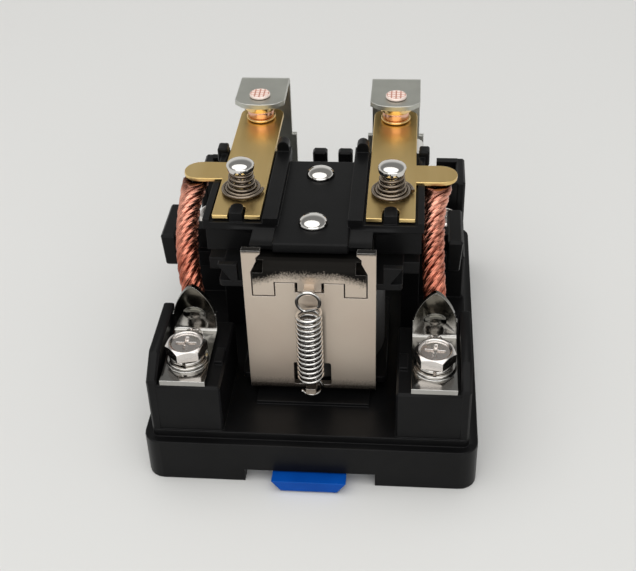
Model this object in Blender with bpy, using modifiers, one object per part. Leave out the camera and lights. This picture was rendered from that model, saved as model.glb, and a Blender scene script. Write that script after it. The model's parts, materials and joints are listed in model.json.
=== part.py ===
# Two-pole changeover power relay of the open clapper type, shown without its clear cover.
# Metres, +Z up. Origin at the middle of the base's underside, the common terminals towards -Y.
# Depths written as "from the front" are counted back from the base's front face.

import math

import bmesh
import bpy
from mathutils import Matrix, Vector

MM = 0.001

# Fits and clearances
SEAT = 0.2 * MM                 # between stacked pieces of one body
RUNNING = 0.3 * MM              # between pieces that move past each other
TOUCH = 0.1 * MM                # between closed contacts
CUT_OVER = 1.0 * MM             # how far a cutter passes the face it opens
SUNK = 0.5 * MM                 # how far joined blocks reach into each other

# Base moulding
BASE_WIDTH = 76.0 * MM
PLATE_HEIGHT = 11.3 * MM
PLATE_CORNER = 4.0 * MM
RIM_INSET = 2.0 * MM            # ledge that the clear cover sits on
RIM_STEP = 2.0 * MM
PLATFORM_CORNER = 1.5 * MM
EDGE_ROUND = 0.5 * MM
PAD_HALF_WIDTH = 13.0 * MM      # raised seat of the magnet
PAD_HEIGHT = 0.8 * MM
PAD_FRONT = 12.0 * MM           # from the front

# Top-hat rail channel and its latch
RAIL_WIDTH = 35.0 * MM
RAIL_PLAY = 0.4 * MM
RAIL_DEPTH = 4.6 * MM
RAIL_LIP = 1.2 * MM             # how far each hook reaches under the rail's flange
RAIL_FLANGE_SLOT = 1.2 * MM
RAIL_LAND = 0.2 * MM            # the land between the hooks that the rail's top lies on
NOTCH_HALF_WIDTH = 15.0 * MM
NOTCH_HEIGHT = 3.5 * MM
NOTCH_DEPTH = 9.0 * MM
LATCH_HALF_WIDTH = 7.0 * MM
LATCH_WING = 2.0 * MM
LATCH_THICKNESS = 2.8 * MM
LATCH_WING_THICKNESS = 1.4 * MM
LATCH_PROUD = 3.0 * MM
LATCH_GRIP_HALF_WIDTH = 8.5 * MM
LATCH_GRIP_TAPER = 3.1 * MM
LATCH_TRAVEL = 4.0 * MM
LATCH_SLOT_HALF_WIDTH = 1.7 * MM
LATCH_POST_DEPTH = 1.6 * MM
LATCH_POST_FRONT = 8.0 * MM     # from the front
LATCH_SPRING_LENGTH = 11.0 * MM
LATCH_SPRING_RADIUS = 0.95 * MM
LATCH_SPRING_WIRE = 0.35 * MM
LATCH_SPRING_TURNS = 5

# Front terminal blocks
BLOCK_INNER = 19.4 * MM
BLOCK_OUTER = 35.6 * MM
WALL_PROUD = 0.2 * MM           # raised walls stand this much outside their blocks
FRONT_BLOCK_FRONT = 2.4 * MM    # from the front
FRONT_BLOCK_BACK = 26.5 * MM    # from the front
DECK_HEIGHT = 26.0 * MM         # top of every terminal block
SIDE_WALL_INNER = 33.4 * MM
SIDE_WALL_RISE = 5.2 * MM
SIDE_WALL_NOSE = 1.2 * MM
SIDE_WALL_SLOPE = 5.5 * MM
INNER_RIB_WIDTH = 2.4 * MM
INNER_RIB_RISE = 0.9 * MM
INNER_RIB_DEPTH = 5.0 * MM

# Rear terminal blocks and barriers
NO_BLOCK_REACH = 11.3 * MM      # from the block's front side to the NO screw
NO_WALL_THICKNESS = 2.0 * MM
NO_WALL_RISE = 4.0 * MM
REAR_MARGIN = 2.4 * MM          # from the base's rear face to the rear deck
BARRIER_RISE = 9.4 * MM
BARRIER_THICKNESS = 2.0 * MM
BARRIER_FRONT = 15.4 * MM       # from the base's rear face
BARRIER_INNER = 25.4 * MM
REAR_WALL_INNER = 28.2 * MM
SIDE_BARRIER_THICKNESS = 2.2 * MM
COIL_POST_INNER = 1.5 * MM
COIL_POST_WIDTH = 3.9 * MM
COIL_POST_DEPTH = 3.0 * MM
COIL_POST_RISE = 13.6 * MM

# Terminal hardware
SHEET = 1.3 * MM                # terminal plates and fixed brackets
SHEET_BEND = 1.0 * MM
TERMINAL_X = 27.7 * MM
COMMON_PLATE_WIDTH = 10.1 * MM
COMMON_PLATE_FRONT = 2.6 * MM   # from the front
COMMON_PLATE_LENGTH = 19.9 * MM
COMMON_SCREW_Y = 10.4 * MM      # from the front
ARCH_HEIGHT = 12.2 * MM
ARCH_SPRING = 4.4 * MM
ARCH_WIDTH = 9.6 * MM
ARCH_POWER = 1.45               # below 2 the arch is pointed, at 2 it is round
BULGE_HEIGHT = 4.6 * MM         # above the plate
BULGE_RADII = (2.7 * MM, 0.9 * MM, 1.9 * MM)
FIXING_SCREW_Y = 18.0 * MM      # from the front
SCREW_THREAD = 5.0 * MM
SCREW_FLATS = 8.2 * MM
SCREW_HEAD = 2.7 * MM
SCREW_LENGTH = 9.0 * MM
SCREW_HOLE_PLAY = 0.35 * MM
CROSS_LENGTH = 4.4 * MM
CROSS_WIDTH = 0.9 * MM
CROSS_DEPTH = 1.2 * MM
COMMON_WASHER_RADIUS = 4.7 * MM
REAR_WASHER_RADIUS = 4.2 * MM
WASHER_THICKNESS = 0.7 * MM
LAND_RISE = 0.1 * MM            # round lands under the washers
SPRING_WASHER_RADIUS = 4.1 * MM
SPRING_WASHER_THICKNESS = 1.0 * MM
SPRING_WASHER_SPLIT = 0.6 * MM
SMALL_THREAD = 2.6 * MM
SMALL_HEAD_RADIUS = 2.3 * MM
SMALL_HEAD = 1.9 * MM
SMALL_CROSS = 0.6               # share of the large screws' cross

# Magnet
YOKE_FACE = 14.8 * MM           # from the front
YOKE_THICKNESS = 1.5 * MM
YOKE_HALF_WIDTH = 14.5 * MM
EAR_RISE = 3.5 * MM             # of the yoke's ears above the armature
YOKE_BEND = 1.6 * MM
YOKE_LEG_MARGIN = 1.0 * MM
EAR_WIDTH = 4.1 * MM
EAR_NOTCH = 1.0 * MM
WINDOW_HALF_WIDTH = 4.3 * MM
WINDOW_LOW = 3.0 * MM           # above the yoke's underside
WINDOW_HEIGHT = 6.5 * MM
HOOK_HALF_WIDTH = 1.1 * MM
HOOK_REACH = 5.2 * MM
CORE_RADIUS = 4.5 * MM
POLE_RADIUS = 7.6 * MM
CORE_RIVET_RADIUS = 3.0 * MM
BOBBIN_WALL = 1.3 * MM
BOBBIN_FLANGE = 1.5 * MM
BOBBIN_TOP = 45.0 * MM
BOBBIN_FLANGE_HALF = 20.2 * MM
LOW_FLANGE_HALF = 16.8 * MM
WINDING_RADIUS = 16.0 * MM
COIL_CLEARANCE = 0.5 * MM       # yoke to winding
LEG_OUTER = 24.0 * MM
LEG_FRONT = 39.8 * MM           # from the front
LEG_DEPTH = 5.2 * MM
LEDGE_RISE = 4.2 * MM
SHELF_OUTER = 23.8 * MM
SHELF_FRONT = 25.6 * MM         # from the front
SHELF_DEPTH = 8.0 * MM
SHELF_THICKNESS = 3.2 * MM
LEDGE_STEP = 1.6 * MM
LEDGE_OUTER = 29.5 * MM
LEDGE_BOTTOM = 32.5 * MM
LINK_HEIGHT = 5.1 * MM
WING_FRONT = 37.5 * MM          # from the front
WING_DEPTH = 14.5 * MM
WING_BOTTOM = 34.0 * MM
WING_HEIGHT = 8.6 * MM
WING_THICKNESS = 3.6 * MM
WING_REACH_LEFT = 37.8 * MM     # the photograph shows the left arm longer than the right
WING_REACH_RIGHT = 34.0 * MM
WING_DRAFT = 0.6 * MM
GUSSET_THICKNESS = 1.5 * MM
GUSSET_RISE = 4.2 * MM

# Armature: an L-shaped clapper whose front flange rocks on the yoke's teeth
PULL_IN_DEG = 3.5
PIVOT_DROP = 4.65 * MM          # below the armature's top
TOOTH_OUTER = 7.8 * MM
TOOTH_INNER = 3.2 * MM
FOOT_OUTER = 12.4 * MM
FOOT_DROP = 3.5 * MM
TONGUE_HALF_WIDTH = 2.6 * MM
TONGUE_DROP = 2.6 * MM
ARMATURE_RISE = 5.9 * MM        # above the coil former's top
ARMATURE_THICKNESS = 2.2 * MM
ARMATURE_BEND = 0.8 * MM
ARMATURE_BACK = 53.0 * MM       # from the front
ARMATURE_HALF_WIDTH = 13.6 * MM

# Return spring
SPRING_WIRE = 0.65 * MM
SPRING_RADIUS = 2.7 * MM
SPRING_TURNS = 14
SPRING_AXIS = 11.3 * MM         # from the front
SPRING_TOP = 41.0 * MM
SPRING_BOTTOM = 22.4 * MM
SPRING_EYE_RADIUS = 2.5 * MM

# Carrier moulding
CARRIER_PLATE = 2.5 * MM
CARRIER_LIP = 19.0 * MM         # from the front
CARRIER_BACK = 55.0 * MM        # from the front
CARRIER_HALF_WIDTH = 8.3 * MM
RAIL_OUTER = 11.2 * MM
RAIL_RISE = 1.1 * MM            # above the arm's underside
RAIL_FRONT = 26.0 * MM          # from the front
RAIL_BACK = 58.5 * MM           # from the front
RAIL_TO_CONTACT = 14.9 * MM
RAIL_POST_RISE = 3.7 * MM       # above the arm's underside
RAIL_POST_DEPTH = 2.6 * MM
CHANNEL_WALL = 1.5 * MM
CHANNEL_FLOOR = 1.8 * MM
CHANNEL_SKIRT_DROP = 7.9 * MM   # below the arm
SKIRT_SETBACK = 0.4 * MM
APRON_OUTER = 13.4 * MM
APRON_SETBACK = 0.8 * MM
APRON_DROP = 1.0 * MM
SKIRT_THICKNESS = 2.2 * MM
OUTER_POST_DEPTH = 3.4 * MM
OUTER_POST_WIDTH = 1.1 * MM
OUTER_POST_RISE = 2.2 * MM
PEG_RADIUS = 1.45 * MM
PEG_RISE = 1.9 * MM
PEG_Y = 29.2 * MM               # from the front
RIVET_HEAD_RADIUS = 3.35 * MM
RIVET_DOME = 1.5 * MM
RIVET_SHANK_RADIUS = 1.5 * MM
RIVET_FRONT_Y = 27.6 * MM       # from the front
RIVET_REAR_Y = 48.6 * MM        # from the front

# Moving contact arms
ARM_SIDE_PLAY = 0.5 * MM        # between the arm and the channel's walls
ARM_WIDTH = 10.9 * MM
ARM_THICKNESS = 1.0 * MM
ARM_RISE = 0.9 * MM             # above the carrier's middle plate
ARM_FRONT = 26.9 * MM           # from the front
ARM_OVERHANG = 5.0 * MM         # past the contact
ARM_LIFT_SHARE = 0.1            # arm's lift for each unit of the armature's swing
ARM_PLAY = 0.3 * MM
SLOT_WIDTH = 3.7 * MM
TAB_Y = 46.6 * MM               # from the front
TAB_WIDTH = 7.8 * MM
STUD_Y = 37.6 * MM              # from the front
STUD_RISE = 8.0 * MM            # above the arm
STUD_HEAD_RADIUS = 3.2 * MM
STUD_HEAD = 2.3 * MM
STUD_SHANK_RADIUS = 1.6 * MM
STUD_HOLE_PLAY = 0.6 * MM
CONE_WIRE = 0.8 * MM
CONE_BOTTOM_RADIUS = 5.0 * MM
CONE_TOP_RADIUS = 2.5 * MM
CONE_TURNS = 4.2
CONE_FLARE = 1.7                # how early the coil narrows

# Contacts and their brackets, set from the base's rear face
BRACKET_BACK = 6.4 * MM         # from the rear face to the NC bracket's rear side
BRACKET_INNER = 10.8 * MM
BRACKET_WIDTH = 12.4 * MM
BRACKET_LENGTH = 17.3 * MM
BRACKET_CORNER = 1.9 * MM
BRACKET_NOSE = 0.8 * MM
BRACKET_SHOULDER = 1.2 * MM
BRACKET_SHOULDER_Z = 45.0 * MM
NC_FOOT_WIDTH = 8.4 * MM
NC_SCREW_X = 28.3 * MM
CONTACT_SETBACK = 12.2 * MM     # bracket's rear side to the contacts' centre
CONTACT_RADIUS = 3.7 * MM
FIXED_CONTACT = 1.8 * MM
CONTACT_TAIL_RADIUS = 2.6 * MM
CONTACT_TAIL = 0.7 * MM
CONTACT_SHANK_RADIUS = 1.6 * MM
MOVING_CONTACT_RADIUS = 3.4 * MM
MOVING_CONTACT = 1.7 * MM
MOVING_CONTACT_RISE = 2.9 * MM  # above the arm
NO_GAP_SPARE = 0.15 * MM
NO_RISER_GAP = 0.8 * MM         # from the rear barrier
NO_PLATE_OUTER = 35.2 * MM
NO_PLATE_WIDTH = 11.6 * MM
NO_SHELF_INNER = 12.2 * MM
NO_SHELF_WIDTH = 10.0 * MM
NO_SCREW_X = 29.8 * MM
NO_TO_CONTACT = 6.6 * MM        # NO screw in front of the contact

# Coil terminals
COIL_PLATE_WIDTH = 7.0 * MM
COIL_PLATE_LENGTH = 7.0 * MM
COIL_PLATE_X = 5.2 * MM
COIL_PLATE_THICKNESS = 0.8 * MM

# Copper braids
BRAID_RADIUS = 2.9 * MM
BRAID_GROOVE = 0.38 * MM
BRAID_STRANDS = 7
BRAID_LAY = 19.0 * MM
BRAID_STEPS = 24
BRAID_SIDE_GAP = 0.8 * MM       # from the carrier's channel to the braid
BRAID_LEAN_LEFT = 3.0 * MM      # the photograph shows the left braid bowed outwards
BRAID_LEAN_RIGHT = 0.0 * MM

# Values that follow from those above
SCREW_CORNER = SCREW_FLATS / math.sqrt(3.0)
BASE_DEPTH = RAIL_BACK + RAIL_TO_CONTACT + CONTACT_SETBACK + BRACKET_BACK
FRONT = -(BASE_DEPTH - LATCH_PROUD) / 2
REAR = FRONT + BASE_DEPTH
RAIL_Y = (FRONT + REAR) / 2
RAIL_HALF = RAIL_WIDTH / 2 + RAIL_PLAY
PLATFORM = PLATE_HEIGHT + RIM_STEP
PAD_TOP = PLATFORM + PAD_HEIGHT
PLATE_TOP = DECK_HEIGHT + SEAT + SHEET
YOKE_BOTTOM = PAD_TOP + SEAT
YOKE_FRONT = FRONT + YOKE_FACE
YOKE_REAR = YOKE_FRONT + YOKE_THICKNESS
ARMATURE_TOP = BOBBIN_TOP + ARMATURE_RISE
PIVOT_Z = ARMATURE_TOP - PIVOT_DROP
YOKE_TOP = ARMATURE_TOP + EAR_RISE
CARRIER_TOP = ARMATURE_TOP + SEAT + CARRIER_PLATE
ARM_BOTTOM = CARRIER_TOP + ARM_RISE
RAIL_TOP = ARM_BOTTOM + RAIL_RISE
RAIL_POST_TOP = ARM_BOTTOM + RAIL_POST_RISE
CHANNEL_SKIRT_BOTTOM = ARM_BOTTOM - CHANNEL_SKIRT_DROP
PIVOT = Vector((0.0, YOKE_FRONT + YOKE_THICKNESS / 2, PIVOT_Z))
COIL_Y = YOKE_REAR + COIL_CLEARANCE + WINDING_RADIUS
BOBBIN_BOTTOM = YOKE_BOTTOM + YOKE_THICKNESS + SEAT
ARMATURE_BOTTOM = ARMATURE_TOP - ARMATURE_THICKNESS
PULL_IN = math.radians(PULL_IN_DEG)
POLE_FACE = (PIVOT_Z + (ARMATURE_BOTTOM - PIVOT_Z) * math.cos(PULL_IN)
             - (COIL_Y + POLE_RADIUS - PIVOT.y) * math.sin(PULL_IN) - TOUCH)
ARM_TOP = ARM_BOTTOM + ARM_THICKNESS
ARM_INNER = RAIL_OUTER + ARM_SIDE_PLAY
ARM_OUTER = ARM_INNER + ARM_WIDTH
CHANNEL_OUTER = ARM_OUTER + ARM_SIDE_PLAY + CHANNEL_WALL
NO_RISER_INNER = BARRIER_INNER - NO_RISER_GAP - SHEET
BRACKET_Y = REAR - BRACKET_BACK
CONTACT_X = ARM_INNER + ARM_WIDTH / 2
STUD_X = CONTACT_X
CONTACT_Y = BRACKET_Y - CONTACT_SETBACK
MOVING_TOP = ARM_TOP + MOVING_CONTACT_RISE
BRACKET_TOP = MOVING_TOP + TOUCH + FIXED_CONTACT + SHEET
STUD_TOP = ARM_TOP + STUD_RISE
MOVING_BOTTOM = ARM_BOTTOM - MOVING_CONTACT
CONTACT_SWING = PULL_IN * (CONTACT_Y + MOVING_CONTACT_RADIUS - PIVOT.y)
ARM_HINGE_Y = FRONT + ARM_FRONT + ARM_THICKNESS / 2
CONTACT_LIFT = PULL_IN * ARM_LIFT_SHARE * (CONTACT_Y - ARM_HINGE_Y)
NO_FACE = MOVING_BOTTOM - (CONTACT_SWING - CONTACT_LIFT) - NO_GAP_SPARE
SHELF_TOP = NO_FACE - FIXED_CONTACT
NO_SCREW_Y = CONTACT_Y - NO_TO_CONTACT
NO_BLOCK_Y = NO_SCREW_Y - NO_BLOCK_REACH
NC_SCREW_Y = REAR - REAR_MARGIN - BARRIER_THICKNESS - RUNNING - NC_FOOT_WIDTH / 2
NC_FOOT_OUTER = BLOCK_OUTER - SIDE_BARRIER_THICKNESS - RUNNING
BRAID_TOP_X = CHANNEL_OUTER + BRAID_SIDE_GAP + BRAID_RADIUS
TAB_REACH = BRAID_TOP_X + TAB_WIDTH / 2
COIL_SCREW_Y = REAR - BARRIER_FRONT + COIL_PLATE_LENGTH / 2 + RUNNING
RIGHT = 1
LEFT = -1
SIDES = ((LEFT, "left"), (RIGHT, "right"))


# Helpers

def clear_scene():
    for item in list(bpy.data.objects):
        bpy.data.objects.remove(item, do_unlink=True)


def collection(name):
    group = bpy.data.collections.new(name)
    bpy.context.scene.collection.children.link(group)
    return group


def material(name, colour, roughness, metallic=0.0):
    finish = bpy.data.materials.new(name)
    finish.use_nodes = True
    shader = finish.node_tree.nodes["Principled BSDF"]
    shader.inputs["Base Color"].default_value = (*colour, 1.0)
    shader.inputs["Roughness"].default_value = roughness
    shader.inputs["Metallic"].default_value = metallic
    finish.diffuse_color = (*colour, 1.0)
    return finish


def add_object(name, data, finish=None):
    """Link a part, or a hidden construction solid when it has no finish."""
    item = bpy.data.objects.new(name, data)
    if finish is None:
        TOOLS.objects.link(item)
        item.hide_render = True
        item.display_type = "WIRE"
    else:
        PARTS.objects.link(item)
        item.data.materials.append(finish)
    return item


def mesh_object(name, shape, finish=None, origin=None):
    """Turn a bmesh in world places into an object whose own origin may lie elsewhere."""
    bmesh.ops.remove_doubles(shape, verts=shape.verts, dist=0.000001)
    bmesh.ops.recalc_face_normals(shape, faces=shape.faces)
    centre = Vector(origin) if origin is not None else Vector((0.0, 0.0, 0.0))
    bmesh.ops.translate(shape, verts=shape.verts, vec=-centre)
    mesh = bpy.data.meshes.new(name)
    shape.to_mesh(mesh)
    shape.free()
    item = add_object(name, mesh, finish)
    item.location = centre
    return item


def box(name, low, high, finish=None, origin=None):
    shape = bmesh.new()
    bmesh.ops.create_cube(shape, size=1.0)
    low, high = Vector(low), Vector(high)
    bmesh.ops.scale(shape, verts=shape.verts, vec=high - low)
    bmesh.ops.translate(shape, verts=shape.verts, vec=(low + high) / 2)
    return mesh_object(name, shape, finish, origin)


def side_box(name, side, x, y, z, finish=None, origin=None):
    """A box on one side: x, y and z are (low, high) pairs, x counted outwards from the middle."""
    near, far = sorted((side * x[0], side * x[1]))
    return box(name, (near, y[0], z[0]), (far, y[1], z[1]), finish, origin)


def rod(name, centre, radius, low, high, finish=None, segments=24, axis="Z"):
    """A round bar from low to high along Z or Y through centre."""
    shape = bmesh.new()
    bmesh.ops.create_cone(shape, cap_ends=True, segments=segments, radius1=radius,
                          radius2=radius, depth=high - low)
    bmesh.ops.translate(shape, verts=shape.verts, vec=(0.0, 0.0, (low + high) / 2))
    if axis == "Y":
        bmesh.ops.rotate(shape, verts=shape.verts, matrix=Matrix.Rotation(-math.pi / 2, 3, "X"))
        bmesh.ops.translate(shape, verts=shape.verts, vec=(centre[0], 0.0, centre[1]))
    else:
        bmesh.ops.translate(shape, verts=shape.verts, vec=(centre[0], centre[1], 0.0))
    return mesh_object(name, shape, finish)


def fillet(points, radius, steps=4, closed=True):
    """Round the corners of an outline. radius is one value or one for each point."""
    count = len(points)
    radii = list(radius) if isinstance(radius, (list, tuple)) else [radius] * count
    result = []
    for index, point in enumerate(points):
        here = Vector(point)
        at_end = not closed and index in (0, count - 1)
        if at_end or radii[index] <= 0.0:
            result.append(here)
            continue
        before = (Vector(points[index - 1]) - here).normalized()
        after = (Vector(points[(index + 1) % count]) - here).normalized()
        half = before.angle(after) / 2
        centre = here + (before + after).normalized() * radii[index] / math.sin(half)
        reach = radii[index] / math.tan(half)
        start = here + before * reach - centre
        end = here + after * reach - centre
        turn = start.angle_signed(end)
        for step in range(steps + 1):
            result.append(centre + Matrix.Rotation(-turn * step / steps, 2) @ start)
    return result


def arc(centre, radii, start, end, steps):
    """Points on an ellipse between two angles in degrees."""
    points = []
    for step in range(steps + 1):
        angle = math.radians(start + (end - start) * step / steps)
        points.append((centre[0] + radii[0] * math.cos(angle), centre[1] + radii[1] * math.sin(angle)))
    return points


def extrude(name, points, low, high, axis, finish=None, origin=None):
    """A flat outline given thickness along one axis. The outline is (y, z), (x, z) or (x, y)."""
    curve = bpy.data.curves.new(name, "CURVE")
    curve.dimensions = "2D"
    curve.fill_mode = "BOTH"
    curve.extrude = (high - low) / 2
    spline = curve.splines.new("POLY")
    spline.points.add(len(points) - 1)
    for target, point in zip(spline.points, points):
        target.co = (point[0], point[1], 0.0, 1.0)
    spline.use_cyclic_u = True
    draft = bpy.data.objects.new(name, curve)
    TOOLS.objects.link(draft)
    graph = bpy.context.evaluated_depsgraph_get()
    mesh = bpy.data.meshes.new_from_object(draft.evaluated_get(graph))
    shape = bmesh.new()
    shape.from_mesh(mesh)
    columns = {"X": (1, 2, 0), "Y": (0, 2, 1), "Z": (0, 1, 2)}[axis]
    placing = Matrix.Identity(4)
    for row in range(3):
        for column in range(3):
            placing[row][column] = 1.0 if columns[column] == row else 0.0
    bmesh.ops.transform(shape, verts=shape.verts, matrix=placing)
    shift = Vector((0.0, 0.0, 0.0))
    shift[columns[2]] = (low + high) / 2
    bmesh.ops.translate(shape, verts=shape.verts, vec=shift)
    bpy.data.objects.remove(draft, do_unlink=True)
    bpy.data.curves.remove(curve)
    bpy.data.meshes.remove(mesh)
    return mesh_object(name, shape, finish, origin)


def strip_section(path, thickness, bend, steps=4):
    """The closed section of a bent sheet whose middle line follows path."""
    middle = fillet(path, bend + thickness / 2, steps, closed=False)
    left, right = [], []
    for index, point in enumerate(middle):
        ahead = middle[min(index + 1, len(middle) - 1)]
        behind = middle[max(index - 1, 0)]
        along = (ahead - behind).normalized()
        normal = Vector((-along.y, along.x)) * thickness / 2
        left.append(point + normal)
        right.append(point - normal)
    return left + right[::-1]


def turned(name, profile, centre, finish=None, steps=24, axis_origin=None):
    """A turned body. The profile is (radius, height) down its outer side, top to bottom."""
    shape = bmesh.new()
    corners = [shape.verts.new((radius, 0.0, height)) for radius, height in profile]
    for first, second in zip(corners, corners[1:]):
        shape.edges.new((first, second))
    if profile[0][0] > 0.0:
        shape.edges.new((corners[-1], corners[0]))
    mesh = bpy.data.meshes.new(name)
    shape.to_mesh(mesh)
    shape.free()
    item = add_object(name, mesh, finish)
    item.location = (centre[0], centre[1], 0.0)
    screw = item.modifiers.new("Turn", "SCREW")
    screw.steps = steps
    screw.render_steps = steps
    screw.use_merge_vertices = True
    screw.merge_threshold = 0.000001
    screw.use_smooth_shade = False
    if axis_origin is not None:
        move_origin(item, axis_origin)
    return item


def move_origin(item, origin):
    """Hang a finished piece on an empty that lies on its joint's axis."""
    holder = bpy.data.objects.get("axis_of_" + item.name)
    if holder is None:
        holder = bpy.data.objects.new("axis_of_" + item.name, None)
        PARTS.objects.link(holder)
        holder.location = origin
        holder.empty_display_size = 0.004
    item.parent = holder
    item.matrix_parent_inverse = Matrix.Translation(-Vector(origin))


def tube(name, points, radius, finish, resolution=2):
    """A wire through the points, with filled ends."""
    curve = bpy.data.curves.new(name, "CURVE")
    curve.dimensions = "3D"
    curve.bevel_depth = radius
    curve.bevel_resolution = resolution
    curve.use_fill_caps = True
    spline = curve.splines.new("POLY")
    spline.points.add(len(points) - 1)
    for target, point in zip(spline.points, points):
        target.co = (*point, 1.0)
    return add_object(name, curve, finish)


def boolean(item, other, operation):
    change = item.modifiers.new(operation.title() + " " + other.name, "BOOLEAN")
    change.operation = operation
    change.solver = "EXACT"
    change.object = other


def join(item, *others):
    for other in others:
        boolean(item, other, "UNION")


def cut(item, *others):
    for other in others:
        boolean(item, other, "DIFFERENCE")


def soften(item, width, segments=1, angle=40.0):
    bevel = item.modifiers.new("Rounded edges", "BEVEL")
    bevel.width = width
    bevel.segments = segments
    bevel.limit_method = "ANGLE"
    bevel.angle_limit = math.radians(angle)
    return item


def raise_land(item, name, x, y, radius, top):
    """A low round land on a plate, which the washer or head above it is tightened on."""
    join(item, rod(name, (x, y), radius, top - SUNK, top + LAND_RISE))


def rounded_rectangle(half_x, low_y, high_y, radius, steps=5):
    corners = ((-half_x, low_y), (half_x, low_y), (half_x, high_y), (-half_x, high_y))
    return fillet(corners, radius, steps)


# Base

def front_block(side, tag):
    """Terminal block with a raised outer wall, a sloped nose and a small inner rib."""
    front = FRONT + FRONT_BLOCK_FRONT
    back = FRONT + FRONT_BLOCK_BACK
    low = PLATFORM - 2 * SUNK
    block = side_box("block_form_" + tag, side, (BLOCK_INNER, BLOCK_OUTER), (front, back), (low, DECK_HEIGHT))
    soften(block, EDGE_ROUND)
    top = DECK_HEIGHT + SIDE_WALL_RISE
    outline = (
        (front - WALL_PROUD, low - TOUCH),
        (back + WALL_PROUD, low - TOUCH),
        (back + WALL_PROUD, top),
        (front + SIDE_WALL_SLOPE, top),
        (front - WALL_PROUD, DECK_HEIGHT + SIDE_WALL_NOSE),
    )
    near, far = sorted((side * SIDE_WALL_INNER, side * (BLOCK_OUTER + WALL_PROUD)))
    wall = soften(extrude("side_wall_form_" + tag, outline, near, far, "X"), EDGE_ROUND)
    screw_y = FRONT + COMMON_SCREW_Y
    rib = side_box("rib_form_" + tag, side, (BLOCK_INNER + EDGE_ROUND, BLOCK_INNER + INNER_RIB_WIDTH),
                   (screw_y, screw_y + INNER_RIB_DEPTH), (DECK_HEIGHT - SUNK, DECK_HEIGHT + INNER_RIB_RISE))
    return block, wall, rib


def rear_deck():
    """U-shaped deck that carries the six rear terminals."""
    front = NO_BLOCK_Y
    middle = REAR - BARRIER_FRONT
    back = REAR - REAR_MARGIN
    outline = (
        (-BLOCK_OUTER, front), (-BLOCK_INNER, front), (-BLOCK_INNER, middle), (BLOCK_INNER, middle),
        (BLOCK_INNER, front), (BLOCK_OUTER, front), (BLOCK_OUTER, back), (-BLOCK_OUTER, back),
    )
    return soften(extrude("rear_deck_form", outline, PLATFORM - 2 * SUNK, DECK_HEIGHT, "Z"), EDGE_ROUND)


def rear_walls(side, tag):
    """Low wall before the NO terminal, barriers round the NC terminal and a post by the coil terminal."""
    low = DECK_HEIGHT - SUNK
    front = NO_BLOCK_Y + 2 * EDGE_ROUND
    wall = side_box("no_wall_form_" + tag, side, (BLOCK_INNER + 2 * EDGE_ROUND, BLOCK_OUTER - 2 * EDGE_ROUND),
                    (front, front + NO_WALL_THICKNESS), (low, DECK_HEIGHT + NO_WALL_RISE))
    top = DECK_HEIGHT + BARRIER_RISE
    middle = REAR - BARRIER_FRONT
    inside = BLOCK_OUTER - SIDE_BARRIER_THICKNESS
    divider = side_box("divider_form_" + tag, side, (BARRIER_INNER, inside + SUNK),
                       (middle, middle + BARRIER_THICKNESS), (low, top - TOUCH))
    back = REAR - REAR_MARGIN
    rear = side_box("rear_barrier_form_" + tag, side, (REAR_WALL_INNER, inside + SUNK),
                    (back - BARRIER_THICKNESS, back + TOUCH), (PLATFORM + SUNK, top - TOUCH))
    outer = side_box("side_barrier_form_" + tag, side, (inside, BLOCK_OUTER + WALL_PROUD),
                     (middle - WALL_PROUD, back + WALL_PROUD), (PLATFORM - 2 * SUNK - TOUCH, top))
    soften(outer, EDGE_ROUND)
    post_back = BRACKET_Y + COIL_POST_DEPTH / 2
    post = side_box("coil_post_form_" + tag, side, (COIL_POST_INNER, COIL_POST_INNER + COIL_POST_WIDTH),
                    (post_back - COIL_POST_DEPTH, post_back), (low, DECK_HEIGHT + COIL_POST_RISE))
    return wall, divider, rear, outer, soften(post, EDGE_ROUND)


def rail_cutters():
    """Channel across the underside for the rail, with a hook at the rear and a latch guide in front."""
    slot_low = RAIL_DEPTH - RAIL_FLANGE_SLOT
    lip = RAIL_LIP + RUNNING
    channel = (
        (RAIL_Y - RAIL_HALF, -CUT_OVER), (RAIL_Y + RAIL_HALF - RAIL_LIP, -CUT_OVER),
        (RAIL_Y + RAIL_HALF - RAIL_LIP, slot_low), (RAIL_Y + RAIL_HALF, slot_low),
        (RAIL_Y + RAIL_HALF, RAIL_DEPTH + RAIL_LAND), (RAIL_Y + RAIL_HALF - lip, RAIL_DEPTH + RAIL_LAND),
        (RAIL_Y + RAIL_HALF - lip, RAIL_DEPTH), (RAIL_Y - RAIL_HALF + lip, RAIL_DEPTH),
        (RAIL_Y - RAIL_HALF + lip, RAIL_DEPTH + RAIL_LAND), (RAIL_Y - RAIL_HALF, RAIL_DEPTH + RAIL_LAND),
    )
    reach = BASE_WIDTH / 2 + CUT_OVER
    rail = extrude("rail_channel", channel, -reach, reach, "X")
    notch = box("latch_notch", (-NOTCH_HALF_WIDTH, FRONT - CUT_OVER, -CUT_OVER),
                (NOTCH_HALF_WIDTH, FRONT + NOTCH_DEPTH, NOTCH_HEIGHT + TOUCH))
    narrow = LATCH_HALF_WIDTH + RUNNING
    wide = narrow + LATCH_WING
    groove_low = latch_top() - LATCH_WING_THICKNESS - RUNNING
    section = (
        (-narrow, -CUT_OVER), (narrow, -CUT_OVER), (narrow, groove_low), (wide, groove_low),
        (wide, NOTCH_HEIGHT), (-wide, NOTCH_HEIGHT), (-wide, groove_low), (-narrow, groove_low),
    )
    guide = extrude("latch_guide", section, FRONT + NOTCH_DEPTH - SUNK, RAIL_Y - RAIL_HALF + SUNK, "Y")
    return rail, notch, guide


def latch_top():
    return NOTCH_HEIGHT - RUNNING


def screw_hole(name, x, y, thread, top, depth):
    return rod(name, (x, y), thread / 2 + SCREW_HOLE_PLAY, top - depth, top + CUT_OVER, segments=12)


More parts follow.
